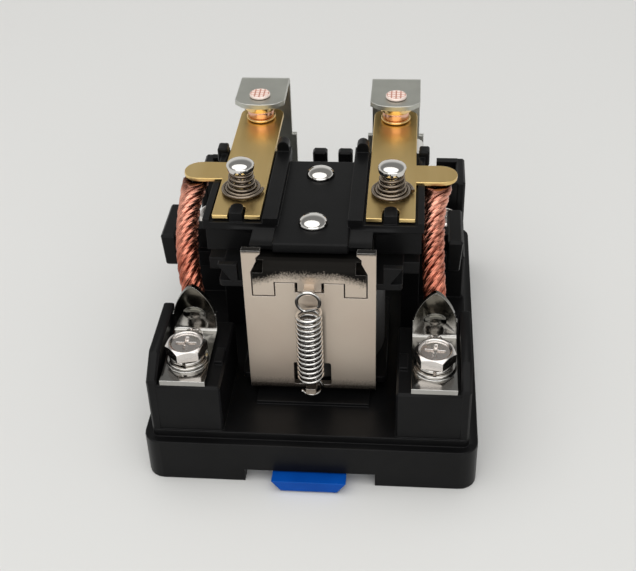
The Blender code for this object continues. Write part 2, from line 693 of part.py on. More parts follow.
def build_base(finish):
    base = extrude("base", rounded_rectangle(BASE_WIDTH / 2, FRONT, REAR, PLATE_CORNER),
                   0.0, PLATE_HEIGHT, "Z", finish)
    soften(base, EDGE_ROUND, 2, 60.0)
    rim = rounded_rectangle(BASE_WIDTH / 2 - RIM_INSET, FRONT + RIM_INSET, REAR - RIM_INSET, PLATFORM_CORNER)
    platform = extrude("platform_form", rim, PLATE_HEIGHT - SUNK, PLATFORM, "Z")
    pad = box("pad_form", (-PAD_HALF_WIDTH, FRONT + PAD_FRONT, PLATFORM - SUNK),
              (PAD_HALF_WIDTH, COIL_Y + WINDING_RADIUS, PAD_TOP))
    join(base, platform, pad, rear_deck())
    hole_depth = SCREW_LENGTH + CUT_OVER
    for side, tag in SIDES:
        join(base, *front_block(side, tag), *rear_walls(side, tag))
        holes = (
            ("common", TERMINAL_X, FRONT + COMMON_SCREW_Y, SCREW_THREAD),
            ("fixing", TERMINAL_X, FRONT + FIXING_SCREW_Y, SMALL_THREAD),
            ("no", NO_SCREW_X, NO_SCREW_Y, SCREW_THREAD),
            ("nc", NC_SCREW_X, NC_SCREW_Y, SCREW_THREAD),
            ("coil", COIL_PLATE_X, COIL_SCREW_Y, SMALL_THREAD),
        )
        for kind, x, y, thread in holes:
            cut(base, screw_hole(kind + "_hole_" + tag, side * x, y, thread, DECK_HEIGHT, hole_depth))
    cut(base, rod("core_relief", (0.0, COIL_Y), CORE_RIVET_RADIUS + 2 * RUNNING,
                  PAD_TOP - 2 * PAD_HEIGHT, PAD_TOP + CUT_OVER))
    cut(base, *rail_cutters())
    half_post = LATCH_SLOT_HALF_WIDTH - RUNNING
    post = box("latch_post_form", (-half_post, FRONT + LATCH_POST_FRONT, RUNNING),
               (half_post, FRONT + LATCH_POST_FRONT + LATCH_POST_DEPTH, NOTCH_HEIGHT + SUNK))
    join(base, post)
    return base


def build_latch(finish):
    """Flat slide with side wings in the base's grooves, a slot for its spring and a tapered grip."""
    low = latch_top() - LATCH_THICKNESS
    back = RAIL_Y - RAIL_HALF + RAIL_LIP
    nose = FRONT - LATCH_PROUD
    grip = LATCH_GRIP_HALF_WIDTH
    neck = FRONT + NOTCH_DEPTH / 2
    outline = (
        (-grip, nose), (grip, nose), (grip, neck - LATCH_WING), (LATCH_HALF_WIDTH, neck),
        (LATCH_HALF_WIDTH, back), (-LATCH_HALF_WIDTH, back), (-LATCH_HALF_WIDTH, neck),
        (-grip, neck - LATCH_WING),
    )
    hinge = (0.0, FRONT, latch_top())
    latch = extrude("din_latch", outline, low, latch_top(), "Z", finish, hinge)
    lip_drop = RAIL_FLANGE_SLOT + RAIL_DEPTH
    wing_back = RAIL_Y - RAIL_HALF - RUNNING
    for side, tag in SIDES:
        wing = side_box("latch_wing_" + tag, side, (LATCH_HALF_WIDTH - SUNK, LATCH_HALF_WIDTH + LATCH_WING),
                        (FRONT + NOTCH_DEPTH + LATCH_TRAVEL + RUNNING, wing_back),
                        (latch_top() - LATCH_WING_THICKNESS, latch_top()))
        join(latch, wing)
        corner = ((side * grip, -CUT_OVER), (side * (grip + CUT_OVER), -CUT_OVER),
                  (side * (grip + CUT_OVER), lip_drop), (side * grip, latch_top()),
                  (side * (grip - LATCH_GRIP_TAPER), -CUT_OVER))
        cut(latch, extrude("latch_taper_" + tag, corner, nose - CUT_OVER, neck - LATCH_WING + SUNK, "Y"))
    slot = box("latch_slot", (-LATCH_SLOT_HALF_WIDTH, latch_slot_front(), -CUT_OVER),
               (LATCH_SLOT_HALF_WIDTH, latch_slot_back(), latch_top() + CUT_OVER))
    cut(latch, slot)
    return latch


def latch_slot_front():
    """The slot starts ahead of the post by no more than the running gap: the latch rests on it."""
    return FRONT + LATCH_POST_FRONT - RUNNING


def latch_slot_back():
    return FRONT + LATCH_POST_FRONT + LATCH_POST_DEPTH + LATCH_SPRING_LENGTH


def build_latch_spring(finish):
    start = FRONT + LATCH_POST_FRONT + LATCH_POST_DEPTH + LATCH_SPRING_WIRE / 2 + SEAT
    end = latch_slot_back() - LATCH_SPRING_WIRE / 2 - SEAT
    height = latch_top() - LATCH_THICKNESS / 2
    steps = 8 * LATCH_SPRING_TURNS
    points = []
    for step in range(steps + 1):
        angle = 2 * math.pi * LATCH_SPRING_TURNS * step / steps
        points.append((LATCH_SPRING_RADIUS * math.cos(angle), start + (end - start) * step / steps,
                       height + LATCH_SPRING_RADIUS * math.sin(angle)))
    return tube("latch_spring", points, LATCH_SPRING_WIRE / 2, finish)


# Magnet

def hook_underside(y):
    """Height of the sloping underside of the yoke's hook, in front of the yoke."""
    start = YOKE_BOTTOM + WINDOW_LOW - SUNK
    return start + (YOKE_FRONT - y) / HOOK_REACH * (YOKE_THICKNESS + SUNK)


def build_yoke(finish):
    """Folded steel frame: a leg under the coil, a front plate with a window, a hook, teeth and ears."""
    middle_y = YOKE_FRONT + YOKE_THICKNESS / 2
    middle_z = YOKE_BOTTOM + YOKE_THICKNESS / 2
    leg_back = COIL_Y + WINDING_RADIUS - YOKE_LEG_MARGIN
    section = strip_section(((leg_back, middle_z), (middle_y, middle_z), (middle_y, YOKE_TOP)),
                            YOKE_THICKNESS, YOKE_BEND)
    yoke = extrude("yoke", section, -YOKE_HALF_WIDTH, YOKE_HALF_WIDTH, "X", finish)
    ear_inner = YOKE_HALF_WIDTH - EAR_WIDTH
    notch_z = (YOKE_TOP + ARMATURE_TOP) / 2
    foot_low = PIVOT_Z - FOOT_DROP - RUNNING
    tongue_low = PIVOT_Z - TONGUE_DROP
    side_profile = [
        (0.0, tongue_low), (TOOTH_INNER, tongue_low), (TOOTH_INNER, PIVOT_Z - TOUCH),
        (TOOTH_OUTER - RUNNING, PIVOT_Z - TOUCH), (TOOTH_OUTER - RUNNING, foot_low),
        (FOOT_OUTER + RUNNING, foot_low), (FOOT_OUTER + RUNNING, ARMATURE_TOP - 2 * EAR_NOTCH),
        (ear_inner + EAR_NOTCH, notch_z - EAR_NOTCH), (ear_inner + EAR_NOTCH, notch_z),
        (ear_inner, notch_z + EAR_NOTCH), (ear_inner, YOKE_TOP + CUT_OVER),
    ]
    outline = [(-x, z) for x, z in side_profile[:0:-1]] + side_profile[1:]
    cut(yoke, extrude("yoke_top_cut", outline, YOKE_FRONT - CUT_OVER, YOKE_REAR + CUT_OVER, "Y"))
    low = YOKE_BOTTOM + WINDOW_LOW
    window = fillet(((-WINDOW_HALF_WIDTH, low), (WINDOW_HALF_WIDTH, low),
                     (WINDOW_HALF_WIDTH, low + WINDOW_HEIGHT), (-WINDOW_HALF_WIDTH, low + WINDOW_HEIGHT)),
                    HOOK_HALF_WIDTH / 2, 3)
    cut(yoke, extrude("yoke_window_cut", window, YOKE_FRONT - CUT_OVER, YOKE_REAR + CUT_OVER, "Y"))
    tip = YOKE_FRONT - HOOK_REACH
    hook = ((YOKE_REAR, low - SUNK), (YOKE_REAR, low + YOKE_THICKNESS),
            (tip, hook_underside(tip) + YOKE_THICKNESS),
            (tip, hook_underside(tip)), (YOKE_FRONT, hook_underside(YOKE_FRONT)))
    join(yoke, extrude("yoke_hook", hook, -HOOK_HALF_WIDTH, HOOK_HALF_WIDTH, "X"))
    cut(yoke, rod("core_rivet_hole", (0.0, COIL_Y), CORE_RIVET_RADIUS + SEAT, 0.0, BOBBIN_BOTTOM))
    return yoke


def build_core(finish):
    low = YOKE_BOTTOM - SEAT
    shoulder = BOBBIN_BOTTOM
    under = BOBBIN_TOP + SEAT
    edge = (POLE_FACE - under) / 4
    profile = (
        (0.0, POLE_FACE), (POLE_RADIUS - edge, POLE_FACE), (POLE_RADIUS, POLE_FACE - edge),
        (POLE_RADIUS, under), (CORE_RADIUS, under), (CORE_RADIUS, shoulder),
        (CORE_RIVET_RADIUS, shoulder), (CORE_RIVET_RADIUS, low), (0.0, low),
    )
    return turned("core", profile, (0.0, COIL_Y), finish, 24)


def wing_reach(side):
    return WING_REACH_LEFT if side == LEFT else WING_REACH_RIGHT


def build_bobbin(finish):
    """Coil former whose top flange carries two side legs, ledges and the wings beside the braids."""
    inner = CORE_RADIUS + SEAT
    outer = inner + BOBBIN_WALL
    bobbin = rod("bobbin", (0.0, COIL_Y), outer, BOBBIN_BOTTOM, BOBBIN_TOP, finish, 28)
    front = YOKE_REAR + COIL_CLEARANCE
    back = COIL_Y + WINDING_RADIUS + COIL_CLEARANCE
    low_outline = rounded_rectangle(LOW_FLANGE_HALF, YOKE_REAR + YOKE_BEND, back, 2 * EDGE_ROUND, 3)
    top_outline = rounded_rectangle(BOBBIN_FLANGE_HALF, front, back, 2 * EDGE_ROUND, 3)
    join(bobbin, extrude("low_flange", low_outline, BOBBIN_BOTTOM, BOBBIN_BOTTOM + BOBBIN_FLANGE, "Z"),
         extrude("top_flange", top_outline, BOBBIN_TOP - BOBBIN_FLANGE, BOBBIN_TOP, "Z"))
    leg_front = FRONT + LEG_FRONT
    leg_back = leg_front + LEG_DEPTH
    wing_top = WING_BOTTOM + WING_HEIGHT
    for side, tag in SIDES:
        leg = side_box("leg_" + tag, side, (BOBBIN_FLANGE_HALF - SUNK, LEG_OUTER),
                       (leg_front + LEDGE_STEP, leg_back), (PLATFORM + SEAT, BOBBIN_TOP))
        ledge = side_box("ledge_" + tag, side, (BOBBIN_FLANGE_HALF - SUNK, LEDGE_OUTER),
                         (leg_front, leg_back), (LEDGE_BOTTOM, LEDGE_BOTTOM + LEDGE_RISE))
        reach = wing_reach(side)
        link = side_box("link_" + tag, side, (LEG_OUTER - SUNK, reach - WING_THICKNESS + SUNK),
                        (leg_front + LEDGE_STEP, leg_back), (wing_top - LINK_HEIGHT, wing_top - EDGE_ROUND))
        web = side_box("web_" + tag, side, (LEG_OUTER - SUNK, LEDGE_OUTER),
                       (leg_front + LEDGE_STEP, leg_back),
                       (LEDGE_BOTTOM + SUNK, wing_top - LINK_HEIGHT + SUNK))
        section = ((side * (reach - WING_THICKNESS), wing_top), (side * reach, wing_top),
                   (side * (reach - WING_DRAFT), WING_BOTTOM),
                   (side * (reach - WING_THICKNESS), WING_BOTTOM))
        wing_front = FRONT + WING_FRONT
        wing = extrude("wing_" + tag, section, wing_front, wing_front + WING_DEPTH, "Y")
        soften(wing, EDGE_ROUND)
        low = BOBBIN_TOP - BOBBIN_FLANGE
        half = BOBBIN_FLANGE_HALF
        gusset = ((side * (half - GUSSET_RISE), low), (side * (half - GUSSET_RISE + EDGE_ROUND), low),
                  (side * half, BOBBIN_TOP + GUSSET_RISE),
                  (side * (half - GUSSET_RISE), BOBBIN_TOP + GUSSET_RISE))
        corner = extrude("gusset_" + tag, gusset, front, front + GUSSET_THICKNESS, "Y")
        shelf = side_box("shelf_" + tag, side, (half - SUNK, SHELF_OUTER),
                         (FRONT + SHELF_FRONT, FRONT + SHELF_FRONT + SHELF_DEPTH),
                         (BOBBIN_TOP - SHELF_THICKNESS, BOBBIN_TOP - TOUCH))
        join(bobbin, leg, ledge, web, link, wing, corner, shelf)
    cut(bobbin, rod("core_bore", (0.0, COIL_Y), inner, BOBBIN_BOTTOM - CUT_OVER,
                    BOBBIN_TOP + CUT_OVER, segments=28))
    return bobbin


def build_winding(finish):
    inner = CORE_RADIUS + SEAT + BOBBIN_WALL + SEAT
    low = BOBBIN_BOTTOM + BOBBIN_FLANGE + SEAT
    high = BOBBIN_TOP - BOBBIN_FLANGE - SEAT
    profile = ((inner, high), (WINDING_RADIUS, high), (WINDING_RADIUS, low), (inner, low))
    return turned("winding", profile, (0.0, COIL_Y), finish, 40)


# Armature and its return spring

def build_armature(finish):
    """L-shaped clapper: a flange in the yoke's plane and a leaf over the pole."""
    middle_y = YOKE_FRONT + YOKE_THICKNESS / 2
    flange_half = YOKE_THICKNESS / 2
    low = PIVOT_Z - FOOT_DROP
    back = FRONT + ARMATURE_BACK
    leaf = strip_section(((back, ARMATURE_TOP - ARMATURE_THICKNESS / 2),
                          (middle_y + (ARMATURE_THICKNESS - YOKE_THICKNESS) / 2,
                           ARMATURE_TOP - ARMATURE_THICKNESS / 2),
                          (middle_y + (ARMATURE_THICKNESS - YOKE_THICKNESS) / 2, low)),
                         ARMATURE_THICKNESS, ARMATURE_BEND)
    armature = extrude("armature", leaf, -ARMATURE_HALF_WIDTH, ARMATURE_HALF_WIDTH, "X", finish, PIVOT)
    behind = middle_y + flange_half
    thin = box("flange_thinning", (-ARMATURE_HALF_WIDTH - CUT_OVER, behind, low - CUT_OVER),
               (ARMATURE_HALF_WIDTH + CUT_OVER, behind + ARMATURE_THICKNESS, ARMATURE_BOTTOM - ARMATURE_BEND))
    cut(armature, thin)
    tooth = PIVOT_Z + TOUCH
    tongue_low = PIVOT_Z - TONGUE_DROP + RUNNING
    ahead = YOKE_FRONT - CUT_OVER
    ear_inner = YOKE_HALF_WIDTH - EAR_WIDTH - RUNNING
    neck_back = YOKE_REAR + 2 * RUNNING
    for side, tag in SIDES:
        tooth_gap = side_box("tooth_gap_" + tag, side, (TONGUE_HALF_WIDTH, TOOTH_OUTER),
                             (ahead, behind + ARMATURE_THICKNESS), (low - CUT_OVER, tooth))
        beyond = side_box("beyond_foot_" + tag, side, (FOOT_OUTER, ARMATURE_HALF_WIDTH + CUT_OVER),
                          (ahead, neck_back), (low - CUT_OVER, ARMATURE_TOP + CUT_OVER))
        ear_gap = side_box("ear_gap_" + tag, side, (ear_inner, ARMATURE_HALF_WIDTH + CUT_OVER),
                           (ahead, neck_back),
                           (ARMATURE_TOP - 2 * EAR_NOTCH - RUNNING, ARMATURE_TOP + CUT_OVER))
        cut(armature, tooth_gap, beyond, ear_gap)
    cut(armature, box("tongue_end", (-TONGUE_HALF_WIDTH - CUT_OVER, ahead, low - CUT_OVER),
                      (TONGUE_HALF_WIDTH + CUT_OVER, behind + ARMATURE_THICKNESS, tongue_low)))
    tip = ((YOKE_FRONT + SUNK, tongue_low), (YOKE_FRONT + SUNK, tongue_low + 1.4 * YOKE_THICKNESS),
           (YOKE_FRONT - YOKE_THICKNESS, tongue_low + YOKE_THICKNESS),
           (YOKE_FRONT - 1.7 * YOKE_THICKNESS, tongue_low + 1.5 * YOKE_THICKNESS),
           (YOKE_FRONT - 2 * YOKE_THICKNESS, tongue_low + 0.8 * YOKE_THICKNESS),
           (YOKE_FRONT - YOKE_THICKNESS, tongue_low))
    join(armature, extrude("tongue_tip", tip, -HOOK_HALF_WIDTH, HOOK_HALF_WIDTH, "X"))
    for y in (FRONT + RIVET_FRONT_Y, FRONT + RIVET_REAR_Y):
        cut(armature, rod("armature_rivet_hole", (0.0, y), RIVET_SHANK_RADIUS + SEAT,
                          ARMATURE_BOTTOM - CUT_OVER, ARMATURE_TOP + CUT_OVER, segments=16))
    return armature


def build_return_spring(finish):
    """Extension spring: hook on the yoke's tab, close turns, and an eye over the armature's tongue."""
    axis = FRONT + SPRING_AXIS
    per_turn = 8
    wire = SPRING_WIRE / 2
    points = []
    foot = hook_underside(axis) - 2 * RUNNING - wire
    for angle in range(-60, 181, 30):
        swing = math.radians(angle)
        points.append((SPRING_EYE_RADIUS * math.sin(swing), axis,
                       foot + SPRING_EYE_RADIUS - SPRING_EYE_RADIUS * math.cos(swing)))
    steps = per_turn * SPRING_TURNS
    for step in range(steps + 1):
        angle = math.pi / 2 + 2 * math.pi * step / per_turn
        points.append((SPRING_RADIUS * math.cos(angle), axis + SPRING_RADIUS * math.sin(angle),
                       SPRING_BOTTOM + (SPRING_TOP - SPRING_BOTTOM) * step / steps))
    top = SPRING_TOP + SPRING_EYE_RADIUS + wire
    for angle in range(180, 481, 30):
        swing = math.radians(angle)
        points.append((SPRING_EYE_RADIUS * math.sin(swing), axis,
                       top + SPRING_EYE_RADIUS * math.cos(swing)))
    return tube("return_spring", points, wire, finish)


# Carrier

def build_carrier(finish):
    """Moulding that the armature swings: a middle plate, two channels for the arms, posts and pegs."""
    lip = FRONT + CARRIER_LIP
    back = FRONT + CARRIER_BACK
    low = CARRIER_TOP - CARRIER_PLATE
    carrier = box("carrier", (-CARRIER_HALF_WIDTH, lip, low), (CARRIER_HALF_WIDTH, back, CARRIER_TOP),
                  finish, PIVOT)
    soften(carrier, EDGE_ROUND / 2)
    rail_front = FRONT + RAIL_FRONT
    rail_back = FRONT + RAIL_BACK
    floor_top = ARM_BOTTOM - ARM_PLAY
    floor_low = floor_top - CHANNEL_FLOOR
    wall_inner = CHANNEL_OUTER - CHANNEL_WALL
    for side, tag in SIDES:
        section = (
            (CARRIER_HALF_WIDTH - SUNK, low + TOUCH), (RAIL_OUTER, low + TOUCH), (RAIL_OUTER, floor_low),
            (CHANNEL_OUTER, floor_low), (CHANNEL_OUTER, ARM_TOP - ARM_THICKNESS / 2),
            (wall_inner, ARM_TOP - ARM_THICKNESS / 2), (wall_inner, floor_top), (RAIL_OUTER, floor_top),
            (RAIL_OUTER, RAIL_TOP), (CARRIER_HALF_WIDTH - SUNK, RAIL_TOP),
        )
        channel = extrude("channel_" + tag, [(side * x, z) for x, z in section], rail_front, rail_back, "Y")
        half = (RAIL_OUTER - CARRIER_HALF_WIDTH) / 2
        middle = side * (RAIL_OUTER - half - TOUCH)
        crown = RAIL_POST_TOP - half
        post_outline = [(middle - half, low + SUNK), (middle + half, low + SUNK), (middle + half, crown)]
        post_outline += arc((middle, crown), (half, half), 0, 180, 6)[1:]
        post = extrude("rail_post_" + tag, post_outline, rail_back - RAIL_POST_DEPTH, rail_back + TOUCH, "Y")
        skirt_outline = (
            (RAIL_OUTER - SUNK, low + SEAT), (ARMATURE_HALF_WIDTH + RUNNING, low + SEAT),
            (ARMATURE_HALF_WIDTH + RUNNING, CHANNEL_SKIRT_BOTTOM),
            (CHANNEL_OUTER - SUNK, CHANNEL_SKIRT_BOTTOM),
            (CHANNEL_OUTER - SUNK, floor_top - TOUCH), (RAIL_OUTER - SUNK, floor_top - TOUCH),
        )
        skirt = extrude("skirt_" + tag, [(side * x, z) for x, z in skirt_outline],
                        rail_front + SKIRT_SETBACK, rail_front + SKIRT_THICKNESS, "Y")
        apron = side_box("apron_" + tag, side, (CARRIER_HALF_WIDTH - SUNK, APRON_OUTER),
                         (lip + APRON_SETBACK, rail_front + SUNK), (low + 2 * SEAT, CARRIER_TOP - APRON_DROP))
        outer_post = side_box("outer_post_" + tag, side,
                              (wall_inner + TOUCH, CHANNEL_OUTER + OUTER_POST_WIDTH),
                              (rail_back - OUTER_POST_DEPTH, rail_back + TOUCH),
                              (floor_low + TOUCH, floor_top + OUTER_POST_RISE))
        soften(outer_post, EDGE_ROUND, 2)
        nose_y = rail_front + SUNK
        peg_outline = [(side * STUD_X - PEG_RADIUS, nose_y), (side * STUD_X + PEG_RADIUS, nose_y)]
        peg_outline += arc((side * STUD_X, FRONT + PEG_Y), (PEG_RADIUS, PEG_RADIUS), 0, 180, 8)
        peg = extrude("peg_" + tag, peg_outline, floor_low + SUNK, ARM_BOTTOM + PEG_RISE, "Z")
        join(carrier, channel, post, skirt, apron, outer_post, peg)
        tab_gap = side_box("tab_gap_" + tag, side, (wall_inner - SUNK, CHANNEL_OUTER + CUT_OVER),
                           (FRONT + TAB_Y - TAB_WIDTH / 2 - ARM_PLAY,
                            FRONT + TAB_Y + TAB_WIDTH / 2 + ARM_PLAY),
                           (floor_top - TOUCH, ARM_TOP + CUT_OVER))
        stud_hole = rod("stud_hole_" + tag, (side * STUD_X, FRONT + STUD_Y), STUD_SHANK_RADIUS + SEAT,
                        floor_low - CUT_OVER, floor_top + CUT_OVER, segments=16)
        cut(carrier, tab_gap, stud_hole)
    for tag, y in (("front", FRONT + RIVET_FRONT_Y), ("rear", FRONT + RIVET_REAR_Y)):
        cut(carrier, rod("carrier_hole_" + tag, (0.0, y), RIVET_SHANK_RADIUS + SEAT,
                         low - CUT_OVER, CARRIER_TOP + CUT_OVER, segments=16))
    return carrier


def dome(radius, height, top, steps=4):
    """Profile of a low dome from its crown down to its rim."""
    return [(radius * math.sin(math.pi / 2 * step / steps),
             top - height * (1 - math.cos(math.pi / 2 * step / steps))) for step in range(steps + 1)]


def build_carrier_rivet(tag, y, finish):
    rim = CARRIER_TOP + SEAT
    profile = dome(RIVET_HEAD_RADIUS, RIVET_DOME, rim + RIVET_DOME)
    profile += [(RIVET_SHANK_RADIUS, rim), (RIVET_SHANK_RADIUS, ARMATURE_BOTTOM + SEAT),
                (0.0, ARMATURE_BOTTOM + SEAT)]
    return turned("carrier_rivet_" + tag, profile, (0.0, y), finish, 18, PIVOT)


# Contact arms and what they carry

def arm_hinge(side):
    return Vector((side * CONTACT_X, ARM_HINGE_Y, ARM_BOTTOM))


def build_contact_arm(side, tag, finish):
    """Flat strip with a fork at the front, a round-ended side tab for the braid and a tapered rear end."""
    inner, outer = ARM_INNER, ARM_OUTER
    front = FRONT + ARM_FRONT
    back = CONTACT_Y + ARM_OVERHANG
    slot_low = STUD_X - SLOT_WIDTH / 2
    slot_high = STUD_X + SLOT_WIDTH / 2
    slot_back = FRONT + PEG_Y + PEG_RADIUS + ARM_PLAY
    tab_front = FRONT + TAB_Y - TAB_WIDTH / 2
    tab_back = FRONT + TAB_Y + TAB_WIDTH / 2
    round_x = TAB_REACH - TAB_WIDTH / 2
    outline = [(inner, front), (slot_low, front), (slot_low, slot_back), (slot_high, slot_back),
               (slot_high, front), (outer, front), (outer, tab_front)]
    outline += arc((round_x, FRONT + TAB_Y), (TAB_WIDTH / 2, TAB_WIDTH / 2), -90, 90, 10)
    outline += [(outer, tab_back), (outer, back), (inner, back)]
    radii = [0.0] * len(outline)
    radii[-1] = radii[-2] = ARM_WIDTH / 4
    radii[2] = radii[3] = SLOT_WIDTH / 4
    points = [(side * point[0], point[1]) for point in fillet(outline, radii, 4)]
    arm = extrude("contact_arm_" + tag, points, ARM_BOTTOM, ARM_TOP, "Z", finish, arm_hinge(side))
    cut(arm, rod("arm_stud_hole_" + tag, (side * STUD_X, FRONT + STUD_Y), STUD_SHANK_RADIUS + STUD_HOLE_PLAY,
                 ARM_BOTTOM - CUT_OVER, ARM_TOP + CUT_OVER))
    cut(arm, rod("arm_contact_hole_" + tag, (side * CONTACT_X, CONTACT_Y), CONTACT_SHANK_RADIUS + SEAT,
                 ARM_BOTTOM - CUT_OVER, ARM_TOP + CUT_OVER, segments=16))
    return arm


def build_arm_stud(side, tag, finish):
    head_low = STUD_TOP - STUD_HEAD
    low = ARM_BOTTOM - ARM_PLAY - CHANNEL_FLOOR
    profile = dome(STUD_HEAD_RADIUS, 0.55 * STUD_HEAD, STUD_TOP)
    profile += [(STUD_HEAD_RADIUS, head_low), (STUD_SHANK_RADIUS, head_low),
                (STUD_SHANK_RADIUS, low), (0.0, low)]
    return turned("arm_stud_" + tag, profile, (side * STUD_X, FRONT + STUD_Y), finish, 18, PIVOT)


def build_contact_spring(side, tag, finish):
    """Conical compression spring between the stud's head and the arm."""
    wire = CONE_WIRE / 2
    low = ARM_TOP + ARM_PLAY + wire
    high = STUD_TOP - STUD_HEAD - SEAT - wire
    steps = round(10 * CONE_TURNS)
    points = []
    for step in range(steps + 1):
        share = step / steps
        rise = 0.25 * share + 0.75 * share ** 2
        radius = CONE_TOP_RADIUS + (CONE_BOTTOM_RADIUS - CONE_TOP_RADIUS) * (1 - share) ** CONE_FLARE
        angle = side * 2 * math.pi * CONE_TURNS * share
        points.append((side * STUD_X + radius * math.cos(angle), FRONT + STUD_Y + radius * math.sin(angle),
                       low + (high - low) * rise))
    return tube("contact_spring_" + tag, points, wire, finish)


def build_moving_contact(side, tag, finish):
    """Double-sided contact rivet: a dome above the arm and a flatter button below it."""
    hinge = arm_hinge(side)
    dome_height = MOVING_TOP - ARM_TOP - SEAT
    profile = dome(MOVING_CONTACT_RADIUS, dome_height, MOVING_TOP)
    profile += [(CONTACT_SHANK_RADIUS, ARM_TOP + SEAT), (CONTACT_SHANK_RADIUS, ARM_BOTTOM - SEAT),
                (MOVING_CONTACT_RADIUS, ARM_BOTTOM - SEAT),
                (MOVING_CONTACT_RADIUS, MOVING_BOTTOM + MOVING_CONTACT / 3),
                (0.7 * MOVING_CONTACT_RADIUS, MOVING_BOTTOM), (0.0, MOVING_BOTTOM)]
    return turned("moving_contact_" + tag, profile, (side * CONTACT_X, CONTACT_Y), finish, 18, hinge)


# Fixed contacts

def build_nc_bracket(side, tag, finish):
    """Bracket over the moving contact: top plate, rear leg with shoulders and a foot out to its screw."""
    top = BRACKET_TOP - SHEET / 2
    leg_y = BRACKET_Y - SHEET / 2
    foot_z = DECK_HEIGHT + SEAT + SHEET / 2
    nose = BRACKET_Y - BRACKET_LENGTH
    foot_front = NC_SCREW_Y - NC_FOOT_WIDTH / 2
    section = strip_section(((nose, top), (leg_y, top), (leg_y, foot_z), (foot_front, foot_z)),
                            SHEET, SHEET_BEND)
    inner = BRACKET_INNER
    outer = BRACKET_INNER + BRACKET_WIDTH
    wide_inner = inner - BRACKET_SHOULDER
    wide_outer = outer + BRACKET_SHOULDER
    near, far = sorted((side * wide_inner, side * wide_outer))
    bracket = extrude("nc_bracket_" + tag, section, near, far, "X", finish)
    for x in ((wide_inner - CUT_OVER, inner), (outer, wide_outer + CUT_OVER)):
        cut(bracket, side_box("shoulder_cut_" + tag, side, x, (nose - CUT_OVER, BRACKET_Y + CUT_OVER),
                              (BRACKET_SHOULDER_Z, BRACKET_TOP + CUT_OVER)))
    middle = (inner + outer) / 2
    half = BRACKET_WIDTH / 2
    straight = half - BRACKET_CORNER
    corner = nose + BRACKET_CORNER + BRACKET_NOSE
    shape = [(inner - CUT_OVER, nose - CUT_OVER), (outer + CUT_OVER, nose - CUT_OVER),
             (outer + CUT_OVER, corner), (outer, corner)]
    for step in range(9):
        share = 1 - step / 4
        shape.append((middle + straight * share, nose + BRACKET_NOSE * share ** 2))
    shape += [(inner, corner), (inner - CUT_OVER, corner)]
    cut(bracket, extrude("nose_cut_" + tag, [(side * x, y) for x, y in shape],
                         top - SHEET, top + SHEET, "Z"))
    foot = side_box("nc_foot_" + tag, side, (outer - SUNK, NC_FOOT_OUTER),
                    (NC_SCREW_Y - NC_FOOT_WIDTH / 2, NC_SCREW_Y + NC_FOOT_WIDTH / 2),
                    (DECK_HEIGHT + SEAT, PLATE_TOP))
    trim = side_box("nc_foot_trim_" + tag, side, (outer, wide_outer + CUT_OVER),
                    (BRACKET_Y - SHEET - SHEET_BEND - CUT_OVER, BRACKET_Y + CUT_OVER),
                    (DECK_HEIGHT, PLATE_TOP + 2 * SEAT + WASHER_THICKNESS + SCREW_HEAD + RUNNING))
    cut(bracket, trim)
    join(bracket, foot)
    raise_land(bracket, "nc_land_" + tag, side * NC_SCREW_X, NC_SCREW_Y,
               REAR_WASHER_RADIUS - TOUCH, PLATE_TOP)
    cut(bracket, rod("nc_screw_hole_" + tag, (side * NC_SCREW_X, NC_SCREW_Y),
                     SCREW_THREAD / 2 + SCREW_HOLE_PLAY,
                     DECK_HEIGHT, PLATE_TOP + CUT_OVER))
    cut(bracket, rod("nc_contact_hole_" + tag, (side * CONTACT_X, CONTACT_Y), CONTACT_SHANK_RADIUS + SEAT,
                     top - SHEET, top + SHEET, segments=16))
    return bracket


def build_nc_contact(side, tag, finish):
    """Contact rivet: a disc under the bracket and a riveted tail on top."""
    plate_low = BRACKET_TOP - SHEET
    face = plate_low - FIXED_CONTACT
    tail = BRACKET_TOP + SEAT
    profile = [(0.0, tail + CONTACT_TAIL), (0.8 * CONTACT_TAIL_RADIUS, tail + CONTACT_TAIL),
               (CONTACT_TAIL_RADIUS, tail + CONTACT_TAIL / 2), (CONTACT_TAIL_RADIUS, tail),
               (CONTACT_SHANK_RADIUS, tail), (CONTACT_SHANK_RADIUS, plate_low - SEAT),
               (CONTACT_RADIUS, plate_low - SEAT), (CONTACT_RADIUS, face + FIXED_CONTACT / 4),
               (0.9 * CONTACT_RADIUS, face), (0.0, face)]
    return turned("nc_contact_" + tag, profile, (side * CONTACT_X, CONTACT_Y), finish, 20)


